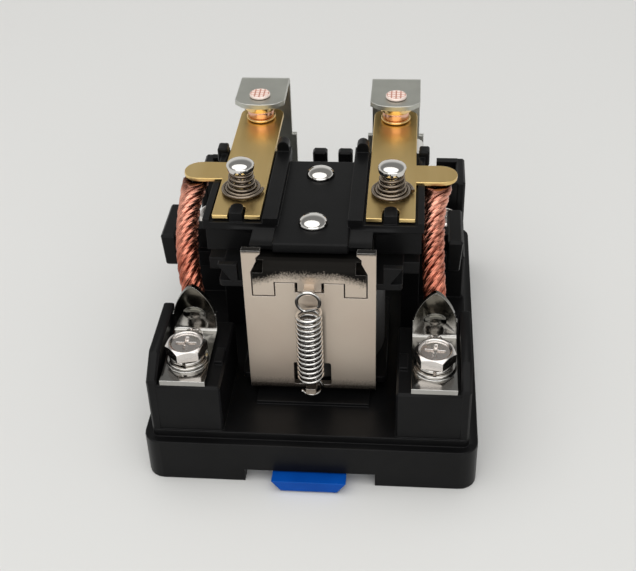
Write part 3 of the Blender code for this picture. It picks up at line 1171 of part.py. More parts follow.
def build_no_plate(side, tag, finish):
    """Folded plate: a terminal foot, a riser beside the arm and a shelf under the moving contact."""
    foot_z = DECK_HEIGHT + SEAT + SHEET / 2
    shelf_z = SHELF_TOP - SHEET / 2
    riser_x = NO_RISER_INNER + SHEET / 2
    path = ((side * NO_PLATE_OUTER, foot_z), (side * riser_x, foot_z), (side * riser_x, shelf_z),
            (side * NO_SHELF_INNER, shelf_z))
    section = strip_section(path, SHEET, SHEET_BEND)
    foot_front = NO_SCREW_Y - NO_PLATE_WIDTH / 2
    foot_back = NO_SCREW_Y + NO_PLATE_WIDTH / 2
    shelf_front = CONTACT_Y - NO_SHELF_WIDTH / 2
    shelf_back = CONTACT_Y + NO_SHELF_WIDTH / 2
    riser_back = REAR - BARRIER_FRONT - RUNNING
    back = max(foot_back, shelf_back)
    plate = extrude("no_plate_" + tag, section, foot_front, back, "Y", finish)
    cut(plate, side_box("shelf_front_cut_" + tag, side,
                        (NO_SHELF_INNER - CUT_OVER, NO_RISER_INNER + SHEET + CUT_OVER),
                        (foot_front - CUT_OVER, shelf_front), (PLATE_TOP + 2 * SHEET, SHELF_TOP + CUT_OVER)))
    cut(plate, side_box("foot_back_cut_" + tag, side, (NO_RISER_INNER - CUT_OVER, NO_PLATE_OUTER + CUT_OVER),
                        (min(foot_back, riser_back), back + CUT_OVER),
                        (DECK_HEIGHT - SUNK, PLATE_TOP + 2 * SHEET)))
    raise_land(plate, "no_land_" + tag, side * NO_SCREW_X, NO_SCREW_Y, SCREW_CORNER + TOUCH, PLATE_TOP)
    cut(plate, rod("no_screw_hole_" + tag, (side * NO_SCREW_X, NO_SCREW_Y),
                   SCREW_THREAD / 2 + SCREW_HOLE_PLAY,
                   DECK_HEIGHT, PLATE_TOP + CUT_OVER))
    cut(plate, rod("no_contact_hole_" + tag, (side * CONTACT_X, CONTACT_Y), CONTACT_SHANK_RADIUS + SEAT,
                   SHELF_TOP - 2 * SHEET, SHELF_TOP + CUT_OVER, segments=16))
    return plate


def build_no_contact(side, tag, finish):
    low = SHELF_TOP - SHEET - SEAT
    profile = [(0.0, NO_FACE), (0.9 * CONTACT_RADIUS, NO_FACE), (CONTACT_RADIUS, NO_FACE - FIXED_CONTACT / 4),
               (CONTACT_RADIUS, SHELF_TOP + SEAT), (CONTACT_SHANK_RADIUS, SHELF_TOP + SEAT),
               (CONTACT_SHANK_RADIUS, low), (CONTACT_TAIL_RADIUS, low),
               (CONTACT_TAIL_RADIUS, low - CONTACT_TAIL / 2),
               (0.8 * CONTACT_TAIL_RADIUS, low - CONTACT_TAIL), (0.0, low - CONTACT_TAIL)]
    return turned("no_contact_" + tag, profile, (side * CONTACT_X, CONTACT_Y), finish, 20)


def pointed_arch(centre, radii, steps):
    """Superellipse from its right end over the crown to its left end."""
    points = []
    for step in range(2 * steps + 1):
        angle = math.pi * step / (2 * steps)
        across = abs(math.cos(angle)) ** (2 / ARCH_POWER) * (1 if step < steps else -1)
        points.append((centre[0] + radii[0] * across,
                       centre[1] + radii[1] * math.sin(angle) ** (2 / ARCH_POWER)))
    return points


def build_common_plate(side, tag, finish):
    """Terminal plate bent up at the back into the arched tab that the braid is brazed to."""
    plate_z = DECK_HEIGHT + SEAT + SHEET / 2
    front = FRONT + COMMON_PLATE_FRONT
    tab_y = front + COMMON_PLATE_LENGTH - SHEET / 2
    top = PLATE_TOP + ARCH_HEIGHT
    section = strip_section(((front, plate_z), (tab_y, plate_z), (tab_y, top)), SHEET, SHEET_BEND)
    half = COMMON_PLATE_WIDTH / 2
    middle = side * TERMINAL_X
    plate = extrude("common_plate_" + tag, section, middle - half, middle + half, "X", finish)
    spring = PLATE_TOP + ARCH_SPRING
    shape = [(middle + half + CUT_OVER, spring)]
    shape += pointed_arch((middle, spring), (ARCH_WIDTH / 2, ARCH_HEIGHT - ARCH_SPRING), 8)
    shape += [(middle - half - CUT_OVER, spring), (middle - half - CUT_OVER, top + CUT_OVER),
              (middle + half + CUT_OVER, top + CUT_OVER)]
    cut(plate, extrude("arch_cut_" + tag, shape, tab_y - SHEET, tab_y + SHEET, "Y"))
    bulge = bmesh.new()
    bmesh.ops.create_uvsphere(bulge, u_segments=16, v_segments=8, radius=1.0)
    bmesh.ops.scale(bulge, verts=bulge.verts, vec=BULGE_RADII)
    bmesh.ops.translate(bulge, verts=bulge.verts,
                        vec=(middle, tab_y - SHEET / 2 + BULGE_RADII[1] / 6, PLATE_TOP + BULGE_HEIGHT))
    join(plate, mesh_object("tab_bulge_" + tag, bulge))
    raise_land(plate, "common_land_" + tag, middle, FRONT + COMMON_SCREW_Y,
               max(COMMON_WASHER_RADIUS, SCREW_CORNER) + TOUCH, PLATE_TOP)
    raise_land(plate, "fixing_land_" + tag, middle, FRONT + FIXING_SCREW_Y,
               SMALL_HEAD_RADIUS + TOUCH, PLATE_TOP)
    for kind, y, thread in (("screw", COMMON_SCREW_Y, SCREW_THREAD),
                            ("fixing", FIXING_SCREW_Y, SMALL_THREAD)):
        cut(plate, rod("plate_" + kind + "_hole_" + tag, (middle, FRONT + y), thread / 2 + SCREW_HOLE_PLAY,
                       DECK_HEIGHT, PLATE_TOP + CUT_OVER, segments=16))
    return plate


# Screws and washers

def cross_recess(item, name, x, y, top, share=1.0):
    length = CROSS_LENGTH * share / 2
    width = CROSS_WIDTH * share / 2
    depth = CROSS_DEPTH * share
    for index, (half_x, half_y) in enumerate(((length, width), (width, length))):
        cut(item, box(f"{name}_cross_{index}", (x - half_x, y - half_y, top - depth),
                      (x + half_x, y + half_y, top + CUT_OVER)))


def hex_screw(name, x, y, seat, finish, turn=0.0):
    """Hexagon-head terminal screw with a bevelled top and a cross recess."""
    top = seat + SCREW_HEAD
    corner = SCREW_FLATS / math.sqrt(3)
    shape = bmesh.new()
    bmesh.ops.create_cone(shape, cap_ends=True, segments=6, radius1=corner, radius2=corner, depth=SCREW_HEAD)
    bmesh.ops.rotate(shape, verts=shape.verts, matrix=Matrix.Rotation(math.radians(turn), 3, "Z"))
    bmesh.ops.translate(shape, verts=shape.verts, vec=(x, y, seat + SCREW_HEAD / 2))
    screw = mesh_object(name, shape, finish)
    chamfer = corner - SCREW_FLATS / 2
    limit = turned(name + "_round", ((0.0, top + TOUCH), (SCREW_FLATS / 2 - chamfer / 2, top + TOUCH),
                                     (corner + chamfer, top - chamfer), (corner + chamfer, seat - SUNK),
                                     (0.0, seat - SUNK)), (x, y), None, 24)
    boolean(screw, limit, "INTERSECT")
    join(screw, rod(name + "_thread", (x, y), SCREW_THREAD / 2 - TOUCH, seat - SCREW_LENGTH, seat + SUNK,
                    segments=16))
    cross_recess(screw, name, x, y, top)
    return screw


def pan_screw(name, x, y, seat, finish):
    """Small cross-recessed pan-head screw."""
    top = seat + SMALL_HEAD
    profile = [(0.0, top)]
    profile += [(0.55 * SMALL_HEAD_RADIUS, top), (0.85 * SMALL_HEAD_RADIUS, seat + 0.8 * SMALL_HEAD),
                (SMALL_HEAD_RADIUS, seat + 0.4 * SMALL_HEAD), (SMALL_HEAD_RADIUS, seat),
                (SMALL_THREAD / 2 - TOUCH, seat), (SMALL_THREAD / 2 - TOUCH, seat - SCREW_LENGTH),
                (0.0, seat - SCREW_LENGTH)]
    screw = turned(name, profile, (x, y), finish, 16)
    cross_recess(screw, name, x, y, top, SMALL_CROSS)
    return screw


def flat_washer(name, x, y, low, radius, finish):
    inner = SCREW_THREAD / 2 + SEAT
    high = low + WASHER_THICKNESS
    return turned(name, ((inner, high), (radius, high), (radius, low), (inner, low)), (x, y), finish, 20)


def spring_washer(name, x, y, low, finish):
    inner = SCREW_THREAD / 2 + SEAT
    high = low + SPRING_WASHER_THICKNESS
    washer = turned(name, ((inner, high), (SPRING_WASHER_RADIUS, high),
                           (SPRING_WASHER_RADIUS, low), (inner, low)),
                    (x, y), finish, 20)
    half = SPRING_WASHER_SPLIT / 2
    cut(washer, box(name + "_split", (x - half, y - SPRING_WASHER_RADIUS - CUT_OVER, low - CUT_OVER),
                    (x + half, y, high + CUT_OVER)))
    return washer


def terminal_stack(kind, side, tag, x, y, finish, turn):
    """Flat washer, spring washer and screw on a terminal plate."""
    low = PLATE_TOP + SEAT
    radius = COMMON_WASHER_RADIUS if kind == "common" else REAR_WASHER_RADIUS
    flat_washer(f"{kind}_washer_{tag}", side * x, y, low, radius, finish)
    low += WASHER_THICKNESS + SEAT
    if kind == "common":
        spring_washer(f"{kind}_spring_washer_{tag}", side * x, y, low, finish)
        low += SPRING_WASHER_THICKNESS + SEAT
    hex_screw(f"{kind}_screw_{tag}", side * x, y, low, finish, turn)


# Coil terminals

def build_coil_terminal(side, tag, plate_finish, screw_finish):
    x = side * COIL_PLATE_X
    low = DECK_HEIGHT + SEAT
    high = low + COIL_PLATE_THICKNESS
    plate = box("coil_terminal_" + tag, (x - COIL_PLATE_WIDTH / 2, COIL_SCREW_Y - COIL_PLATE_LENGTH / 2, low),
                (x + COIL_PLATE_WIDTH / 2, COIL_SCREW_Y + COIL_PLATE_LENGTH / 2, high), plate_finish)
    raise_land(plate, "coil_land_" + tag, x, COIL_SCREW_Y, SMALL_HEAD_RADIUS + TOUCH, high)
    cut(plate, rod("coil_plate_hole_" + tag, (x, COIL_SCREW_Y), SMALL_THREAD / 2 + SCREW_HOLE_PLAY,
                   DECK_HEIGHT, high + CUT_OVER, segments=16))
    pan_screw("coil_screw_" + tag, x, COIL_SCREW_Y, high + SEAT, screw_finish)
    return plate


# Braids

def braid_path(side):
    """Smooth path from behind the arched tab up to the underside of the arm's side tab."""
    arch_back = FRONT + COMMON_PLATE_FRONT + COMMON_PLATE_LENGTH
    start = Vector((side * TERMINAL_X, arch_back + RUNNING + BRAID_RADIUS, PLATE_TOP + ARCH_SPRING))
    end = Vector((side * BRAID_TOP_X, FRONT + TAB_Y, ARM_BOTTOM + BRAID_RADIUS / 2))
    lean = BRAID_LEAN_LEFT if side == LEFT else BRAID_LEAN_RIGHT
    lift = 0.5 * (end.z - start.z)
    first = start + Vector((0.0, 0.0, 0.9 * lift))
    second = end + Vector((side * lean, -0.5 * lift, -0.75 * lift))
    points = []
    for step in range(BRAID_STEPS + 1):
        t = step / BRAID_STEPS
        points.append(start * (1 - t) ** 3 + first * 3 * t * (1 - t) ** 2
                      + second * 3 * t ** 2 * (1 - t) + end * t ** 3)
    return points


def braid_section():
    """Lobed outline of the laid strands, as a closed curve."""
    curve = bpy.data.curves.new("braid_section", "CURVE")
    curve.dimensions = "2D"
    spline = curve.splines.new("POLY")
    count = 3 * BRAID_STRANDS
    spline.points.add(count - 1)
    for index, target in enumerate(spline.points):
        angle = -2 * math.pi * index / count
        dip = BRAID_GROOVE * (1 - abs(math.cos(BRAID_STRANDS * angle / 2)))
        radius = BRAID_RADIUS - dip
        target.co = (radius * math.cos(angle), radius * math.sin(angle), 0.0, 1.0)
    spline.use_cyclic_u = True
    return add_object("braid_section", curve)


def build_braid(side, tag, section, finish):
    points = braid_path(side)
    curve = bpy.data.curves.new("braid_" + tag, "CURVE")
    curve.dimensions = "3D"
    curve.bevel_mode = "OBJECT"
    curve.bevel_object = section
    curve.use_fill_caps = True
    curve.twist_mode = "MINIMUM"
    spline = curve.splines.new("POLY")
    spline.points.add(len(points) - 1)
    travelled = 0.0
    for index, (target, point) in enumerate(zip(spline.points, points)):
        if index:
            travelled += (point - points[index - 1]).length
        target.co = (*point, 1.0)
        target.tilt = 2 * math.pi * travelled / BRAID_LAY
    draft = bpy.data.objects.new("braid_draft_" + tag, curve)
    TOOLS.objects.link(draft)
    mesh = bpy.data.meshes.new_from_object(draft.evaluated_get(bpy.context.evaluated_depsgraph_get()))
    shape = bmesh.new()
    shape.from_mesh(mesh)
    bpy.data.objects.remove(draft, do_unlink=True)
    bpy.data.meshes.remove(mesh)
    braid = mesh_object("braid_" + tag, shape, finish)
    flat = ARM_BOTTOM - RUNNING
    end = points[-1]
    cut(braid, box("braid_end_" + tag, (end.x - 2 * BRAID_RADIUS, end.y - 3 * BRAID_RADIUS, flat),
                   (end.x + 2 * BRAID_RADIUS, end.y + 3 * BRAID_RADIUS, flat + 3 * BRAID_RADIUS)))
    return braid


# Assembly

def build_all():
    black = material("black_moulding", (0.012, 0.012, 0.013), 0.38)
    blue = material("blue_moulding", (0.008, 0.12, 0.65), 0.35)
    steel = material("nickelled_steel", (0.62, 0.59, 0.55), 0.3, 1.0)
    bright = material("bright_nickel", (0.75, 0.73, 0.7), 0.12, 1.0)
    zinc = material("zinc_plate", (0.52, 0.53, 0.5), 0.4, 1.0)
    brass = material("pale_brass", (0.62, 0.52, 0.3), 0.38, 1.0)
    copper = material("copper_braid", (0.72, 0.3, 0.19), 0.4, 1.0)
    gold = material("contact_alloy", (0.75, 0.55, 0.3), 0.3, 1.0)
    bronze = material("spring_wire", (0.35, 0.31, 0.28), 0.3, 1.0)
    tape = material("winding_tape", (0.015, 0.014, 0.013), 0.5)

    build_base(black)
    build_latch(blue)
    build_latch_spring(bronze)
    build_yoke(steel)
    build_core(zinc)
    build_bobbin(black)
    build_winding(tape)
    build_armature(steel)
    build_return_spring(bright)
    build_carrier(black)
    build_carrier_rivet("front", FRONT + RIVET_FRONT_Y, bright)
    build_carrier_rivet("rear", FRONT + RIVET_REAR_Y, bright)
    section = braid_section()
    for side, tag in SIDES:
        build_contact_arm(side, tag, brass)
        build_arm_stud(side, tag, bright)
        build_contact_spring(side, tag, bronze)
        build_moving_contact(side, tag, gold)
        build_nc_bracket(side, tag, zinc)
        build_nc_contact(side, tag, gold)
        build_no_plate(side, tag, bright)
        build_no_contact(side, tag, gold)
        build_braid(side, tag, section, copper)
        build_common_plate(side, tag, bright)
        terminal_stack("common", side, tag, TERMINAL_X, FRONT + COMMON_SCREW_Y, bright, 12.0)
        terminal_stack("no", side, tag, NO_SCREW_X, NO_SCREW_Y, bright, 0.0)
        terminal_stack("nc", side, tag, NC_SCREW_X, NC_SCREW_Y, bright, 30.0)
        pan_screw("fixing_screw_" + tag, side * TERMINAL_X, FRONT + FIXING_SCREW_Y, PLATE_TOP + SEAT, bright)
        build_coil_terminal(side, tag, bright, bright)


clear_scene()
PARTS = collection("power_relay")
TOOLS = collection("cutters")
build_all()
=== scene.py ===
import json
import math

import bmesh
import bpy
import numpy as np
from mathutils import Matrix, Vector


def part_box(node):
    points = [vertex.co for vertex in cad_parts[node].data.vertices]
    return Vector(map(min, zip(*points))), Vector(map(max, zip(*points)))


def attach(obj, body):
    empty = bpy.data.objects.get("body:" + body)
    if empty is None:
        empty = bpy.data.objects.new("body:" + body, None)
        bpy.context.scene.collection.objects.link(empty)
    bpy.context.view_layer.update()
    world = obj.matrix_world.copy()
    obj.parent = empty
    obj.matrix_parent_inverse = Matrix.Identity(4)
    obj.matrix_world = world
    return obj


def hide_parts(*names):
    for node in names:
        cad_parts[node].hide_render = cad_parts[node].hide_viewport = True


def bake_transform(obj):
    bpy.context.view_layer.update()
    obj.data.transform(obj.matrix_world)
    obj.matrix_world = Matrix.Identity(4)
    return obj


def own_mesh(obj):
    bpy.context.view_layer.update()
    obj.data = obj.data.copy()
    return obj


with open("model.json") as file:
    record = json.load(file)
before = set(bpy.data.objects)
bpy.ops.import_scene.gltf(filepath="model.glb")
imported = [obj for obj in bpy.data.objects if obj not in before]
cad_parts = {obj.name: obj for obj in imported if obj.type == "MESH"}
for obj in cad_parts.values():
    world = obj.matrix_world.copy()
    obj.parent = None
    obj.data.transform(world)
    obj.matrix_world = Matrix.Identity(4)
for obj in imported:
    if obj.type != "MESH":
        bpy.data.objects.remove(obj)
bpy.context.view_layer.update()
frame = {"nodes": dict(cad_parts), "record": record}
nodes = frame["nodes"]
mm = 0.001
print("frame loaded:", len(nodes), "nodes")

sides = {"left": -1, "right": 1}
bodyOf = {name: body for body, names in frame["record"]["behaviour"]["bodies"].items() for name in names}


# shader helpers

def newGroup(name, inputs, outputs):
    # inputs and outputs: name, socket type, default value
    tree = bpy.data.node_groups.new(name, "ShaderNodeTree")
    for label, kind, value in inputs:
        socket = tree.interface.new_socket(label, in_out="INPUT", socket_type=kind)
        socket.default_value = value
    for label, kind in outputs:
        tree.interface.new_socket(label, in_out="OUTPUT", socket_type=kind)
    return tree, tree.nodes.new("NodeGroupInput"), tree.nodes.new("NodeGroupOutput")


def mathNode(tree, operation, first, second=None, clamp=False):
    node = tree.nodes.new("ShaderNodeMath")
    node.operation = operation
    node.use_clamp = clamp
    for index, value in enumerate((first, second)):
        if value is None:
            continue
        if isinstance(value, (int, float)):
            node.inputs[index].default_value = value
        else:
            tree.links.new(value, node.inputs[index])
    return node.outputs[0]


def mapRange(tree, value, low, high, outLow, outHigh):
    node = tree.nodes.new("ShaderNodeMapRange")
    tree.links.new(value, node.inputs["Value"])
    for label, number in (("From Min", low), ("From Max", high), ("To Min", outLow), ("To Max", outHigh)):
        node.inputs[label].default_value = number
    return node.outputs["Result"]


def mixColour(tree, factor, first, second):
    node = tree.nodes.new("ShaderNodeMix")
    node.data_type = "RGBA"
    tree.links.new(factor, node.inputs["Factor"])
    for socket, value in ((node.inputs["A"], first), (node.inputs["B"], second)):
        if isinstance(value, tuple):
            socket.default_value = (*value, 1.0)
        else:
            tree.links.new(value, socket)
    return node.outputs["Result"]


def axesOf(tree, vector):
    # the X, Y and Z outputs of a vector
    parts = tree.nodes.new("ShaderNodeSeparateXYZ")
    tree.links.new(vector, parts.inputs[0])
    return parts.outputs


def makeGrain():
    # cloudy value and a fine one, both on Object coordinates
    tree, entry, leave = newGroup("grain", [("Cloud Scale", "NodeSocketFloat", 80.0),
                                            ("Fine Scale", "NodeSocketFloat", 2500.0),
                                            ("Stretch", "NodeSocketVector", (1.0, 1.0, 1.0))],
                                  [("Cloud", "NodeSocketFloat"), ("Fine", "NodeSocketFloat")])
    place = tree.nodes.new("ShaderNodeTexCoord")
    stretch = tree.nodes.new("ShaderNodeVectorMath")
    stretch.operation = "MULTIPLY"
    tree.links.new(place.outputs["Object"], stretch.inputs[0])
    tree.links.new(entry.outputs["Stretch"], stretch.inputs[1])
    for label, detail in (("Cloud", 3.0), ("Fine", 2.0)):
        noise = tree.nodes.new("ShaderNodeTexNoise")
        noise.inputs["Detail"].default_value = detail
        tree.links.new(stretch.outputs[0], noise.inputs["Vector"])
        tree.links.new(entry.outputs[label + " Scale"], noise.inputs["Scale"])
        tree.links.new(noise.outputs["Fac"], leave.inputs[label])
    return tree


edgeLean = {"samples": 6, "none": 0.995, "full": 0.8}  # product of the rounded normal and the true one


def makeEdges():
    # 1 on convex and concave edges, 0 on flats: how far the rounded normal leans off the true one
    tree, entry, leave = newGroup("edgeMask", [("Radius", "NodeSocketFloat", 0.0003)],
                                  [("Mask", "NodeSocketFloat"), ("Normal", "NodeSocketVector")])
    rounded = tree.nodes.new("ShaderNodeBevel")
    rounded.samples = edgeLean["samples"]
    tree.links.new(entry.outputs["Radius"], rounded.inputs["Radius"])
    surface = tree.nodes.new("ShaderNodeNewGeometry")
    lean = tree.nodes.new("ShaderNodeVectorMath")
    lean.operation = "DOT_PRODUCT"
    tree.links.new(rounded.outputs["Normal"], lean.inputs[0])
    tree.links.new(surface.outputs["Normal"], lean.inputs[1])
    mask = mapRange(tree, lean.outputs["Value"], edgeLean["none"], edgeLean["full"], 0.0, 1.0)
    tree.links.new(mask, leave.inputs["Mask"])
    tree.links.new(rounded.outputs["Normal"], leave.inputs["Normal"])
    return tree


def makeSpecks():
    # small scattered dots, 1 inside a dot; Amount is the share of cells that hold one
    tree, entry, leave = newGroup("specks", [("Scale", "NodeSocketFloat", 900.0),
                                             ("Amount", "NodeSocketFloat", 0.2),
                                             ("Size", "NodeSocketFloat", 0.25)],
                                  [("Mask", "NodeSocketFloat")])
    place = tree.nodes.new("ShaderNodeTexCoord")
    cells = tree.nodes.new("ShaderNodeTexVoronoi")
    tree.links.new(place.outputs["Object"], cells.inputs["Vector"])
    tree.links.new(entry.outputs["Scale"], cells.inputs["Scale"])
    chosen = mathNode(tree, "LESS_THAN", cells.outputs["Color"], entry.outputs["Amount"])
    near = mathNode(tree, "LESS_THAN", cells.outputs["Distance"], entry.outputs["Size"])
    tree.links.new(mathNode(tree, "MULTIPLY", chosen, near), leave.inputs["Mask"])
    return tree


# the border's noise, and how far off the middle (m) its sides begin and end to hang
fadeBorder = {"scale": 2600.0, "detail": 3.0, "sideStart": 0.006, "sideEnd": 0.0115}


def makeHeightFade():
    # mask for painted light and shade by height: 0 below Low, 1 above High; fine noise makes the border ragged,
    # and it hangs lower towards both sides
    tree, entry, leave = newGroup("heightFade", [("Low", "NodeSocketFloat", 0.0),
                                                 ("High", "NodeSocketFloat", 0.001),
                                                 ("Ragged", "NodeSocketFloat", 0.001),
                                                 ("Side Lift", "NodeSocketFloat", 0.0)],
                                  [("Mask", "NodeSocketFloat")])
    place = tree.nodes.new("ShaderNodeTexCoord")
    axes = axesOf(tree, place.outputs["Object"])
    noise = tree.nodes.new("ShaderNodeTexNoise")
    noise.inputs["Scale"].default_value = fadeBorder["scale"]
    noise.inputs["Detail"].default_value = fadeBorder["detail"]
    tree.links.new(place.outputs["Object"], noise.inputs["Vector"])
    offset = mathNode(tree, "MULTIPLY", mathNode(tree, "SUBTRACT", noise.outputs["Fac"], 0.5),
                      entry.outputs["Ragged"])
    aside = mapRange(tree, mathNode(tree, "ABSOLUTE", axes["X"]), fadeBorder["sideStart"],
                     fadeBorder["sideEnd"], 0.0, 1.0)
    lifted = mathNode(tree, "MULTIPLY", aside, entry.outputs["Side Lift"])
    raised = mathNode(tree, "ADD", mathNode(tree, "ADD", axes["Z"], offset), lifted)
    above = mathNode(tree, "SUBTRACT", raised, entry.outputs["Low"])
    span = mathNode(tree, "SUBTRACT", entry.outputs["High"], entry.outputs["Low"])
    tree.links.new(mathNode(tree, "DIVIDE", above, span, True), leave.inputs["Mask"])
    return tree


grain, edgeMask, specks, heightFade = makeGrain(), makeEdges(), makeSpecks(), makeHeightFade()


def placeGroup(tree, group, **values):
    node = tree.nodes.new("ShaderNodeGroup")
    node.node_tree = group
    for label, value in values.items():
        node.inputs[label.replace("_", " ")].default_value = value
    return node


# where each mask begins and where it is full; springShadow is the strength of the painted shadow of the return
# spring
masks = {"cloud": (0.35, 0.65), "fine": (0.3, 0.7), "under": (0.6, 0.1), "springShadow": 0.85}


def finish(name, look):
    # two tones by cloudy grain, painted light and shade by height, a painted shadow band, painted highlights on
    # edges, specks, painted shade on undersides, painted shade in the grooves between marked crests, roughness
    # that wanders, and a fine bump
    material = bpy.data.materials.new(name)
    material.use_nodes = True
    tree = material.node_tree
    shader = tree.nodes["Principled BSDF"]
    shader.inputs["Metallic"].default_value = look.get("metallic", 1.0)
    shader.inputs["Specular IOR Level"].default_value = look.get("specular", 0.5)
    noise = placeGroup(tree, grain, Cloud_Scale=look.get("cloudScale", 120.0),
                       Fine_Scale=look.get("fineScale", 3000.0), Stretch=look.get("stretch", (1, 1, 1)))
    cloud = mapRange(tree, noise.outputs["Cloud"], *masks["cloud"], 0.0, 1.0)
    colour = mixColour(tree, cloud, look["tone"], look["toneTwo"])
    # painted light and shade: a tone mixed in above or below a ragged border by height
    for part in ("fade", "foot"):
        if part in look:
            low, high, ragged, sideLift = (value * mm for value in look[part])
            fade = placeGroup(tree, heightFade, Low=low, High=high, Ragged=ragged, Side_Lift=sideLift)
            colour = mixColour(tree, fade.outputs["Mask"], colour, look[part + "Tone"])
    # painted shadow: a darker band on the yoke where the return spring's shadow falls
    if "springShadowTone" in look:
        inner, outer, bottom, low, high, top = (value * mm for value in look["springShadow"])
        axes = axesOf(tree, tree.nodes.new("ShaderNodeTexCoord").outputs["Object"])
        across = mapRange(tree, mathNode(tree, "ABSOLUTE", axes["X"]), inner, outer, masks["springShadow"], 0.0)
        ends = mathNode(tree, "MINIMUM", mapRange(tree, axes["Z"], bottom, low, 0.0, 1.0),
                        mapRange(tree, axes["Z"], high, top, 1.0, 0.0))
        colour = mixColour(tree, mathNode(tree, "MULTIPLY", across, ends), colour, look["springShadowTone"])
    edges = placeGroup(tree, edgeMask, Radius=look.get("edgeRadius", 0.2) * mm)
    # painted highlight: rounded edges lighter in colour, as if catching the light
    if "edgeHighlightTone" in look:
        strength = mathNode(tree, "MULTIPLY", edges.outputs["Mask"], look.get("edgeHighlightShare", 0.6), True)
        colour = mixColour(tree, strength, colour, look["edgeHighlightTone"])
    rough = mapRange(tree, noise.outputs["Fine"], *masks["fine"], *look["rough"])
    if "speckTone" in look:
        dots = placeGroup(tree, specks, Scale=look["speckScale"], Amount=look["speckAmount"],
                          Size=look["speckSize"])
        colour = mixColour(tree, dots.outputs["Mask"], colour, look["speckTone"])
    # painted shade: faces that point downwards take a dark tone
    if "undersideShadeTone" in look:
        axes = axesOf(tree, tree.nodes.new("ShaderNodeNewGeometry").outputs["Normal"])
        below = mapRange(tree, axes["Z"], *masks["under"], 0.0, 1.0)  # by the normal's height
        colour = mixColour(tree, below, colour, look["undersideShadeTone"])
    # painted shade: grooves take the crest tone where the "crest" attribute is low
    if "crest" in look:
        marked = tree.nodes.new("ShaderNodeAttribute")
        marked.attribute_name = "crest"
        colour = mixColour(tree, marked.outputs["Fac"], look["crest"], colour)
    tree.links.new(colour, shader.inputs["Base Color"])
    tree.links.new(rough, shader.inputs["Roughness"])
    bump = tree.nodes.new("ShaderNodeBump")
    bump.inputs["Distance"].default_value = look.get("bump", 0.01) * mm
    bump.inputs["Strength"].default_value = 1.0
    tree.links.new(noise.outputs["Fine"], bump.inputs["Height"])
    tree.links.new(edges.outputs["Normal"], bump.inputs["Normal"])
    tree.links.new(bump.outputs["Normal"], shader.inputs["Normal"])
    return material
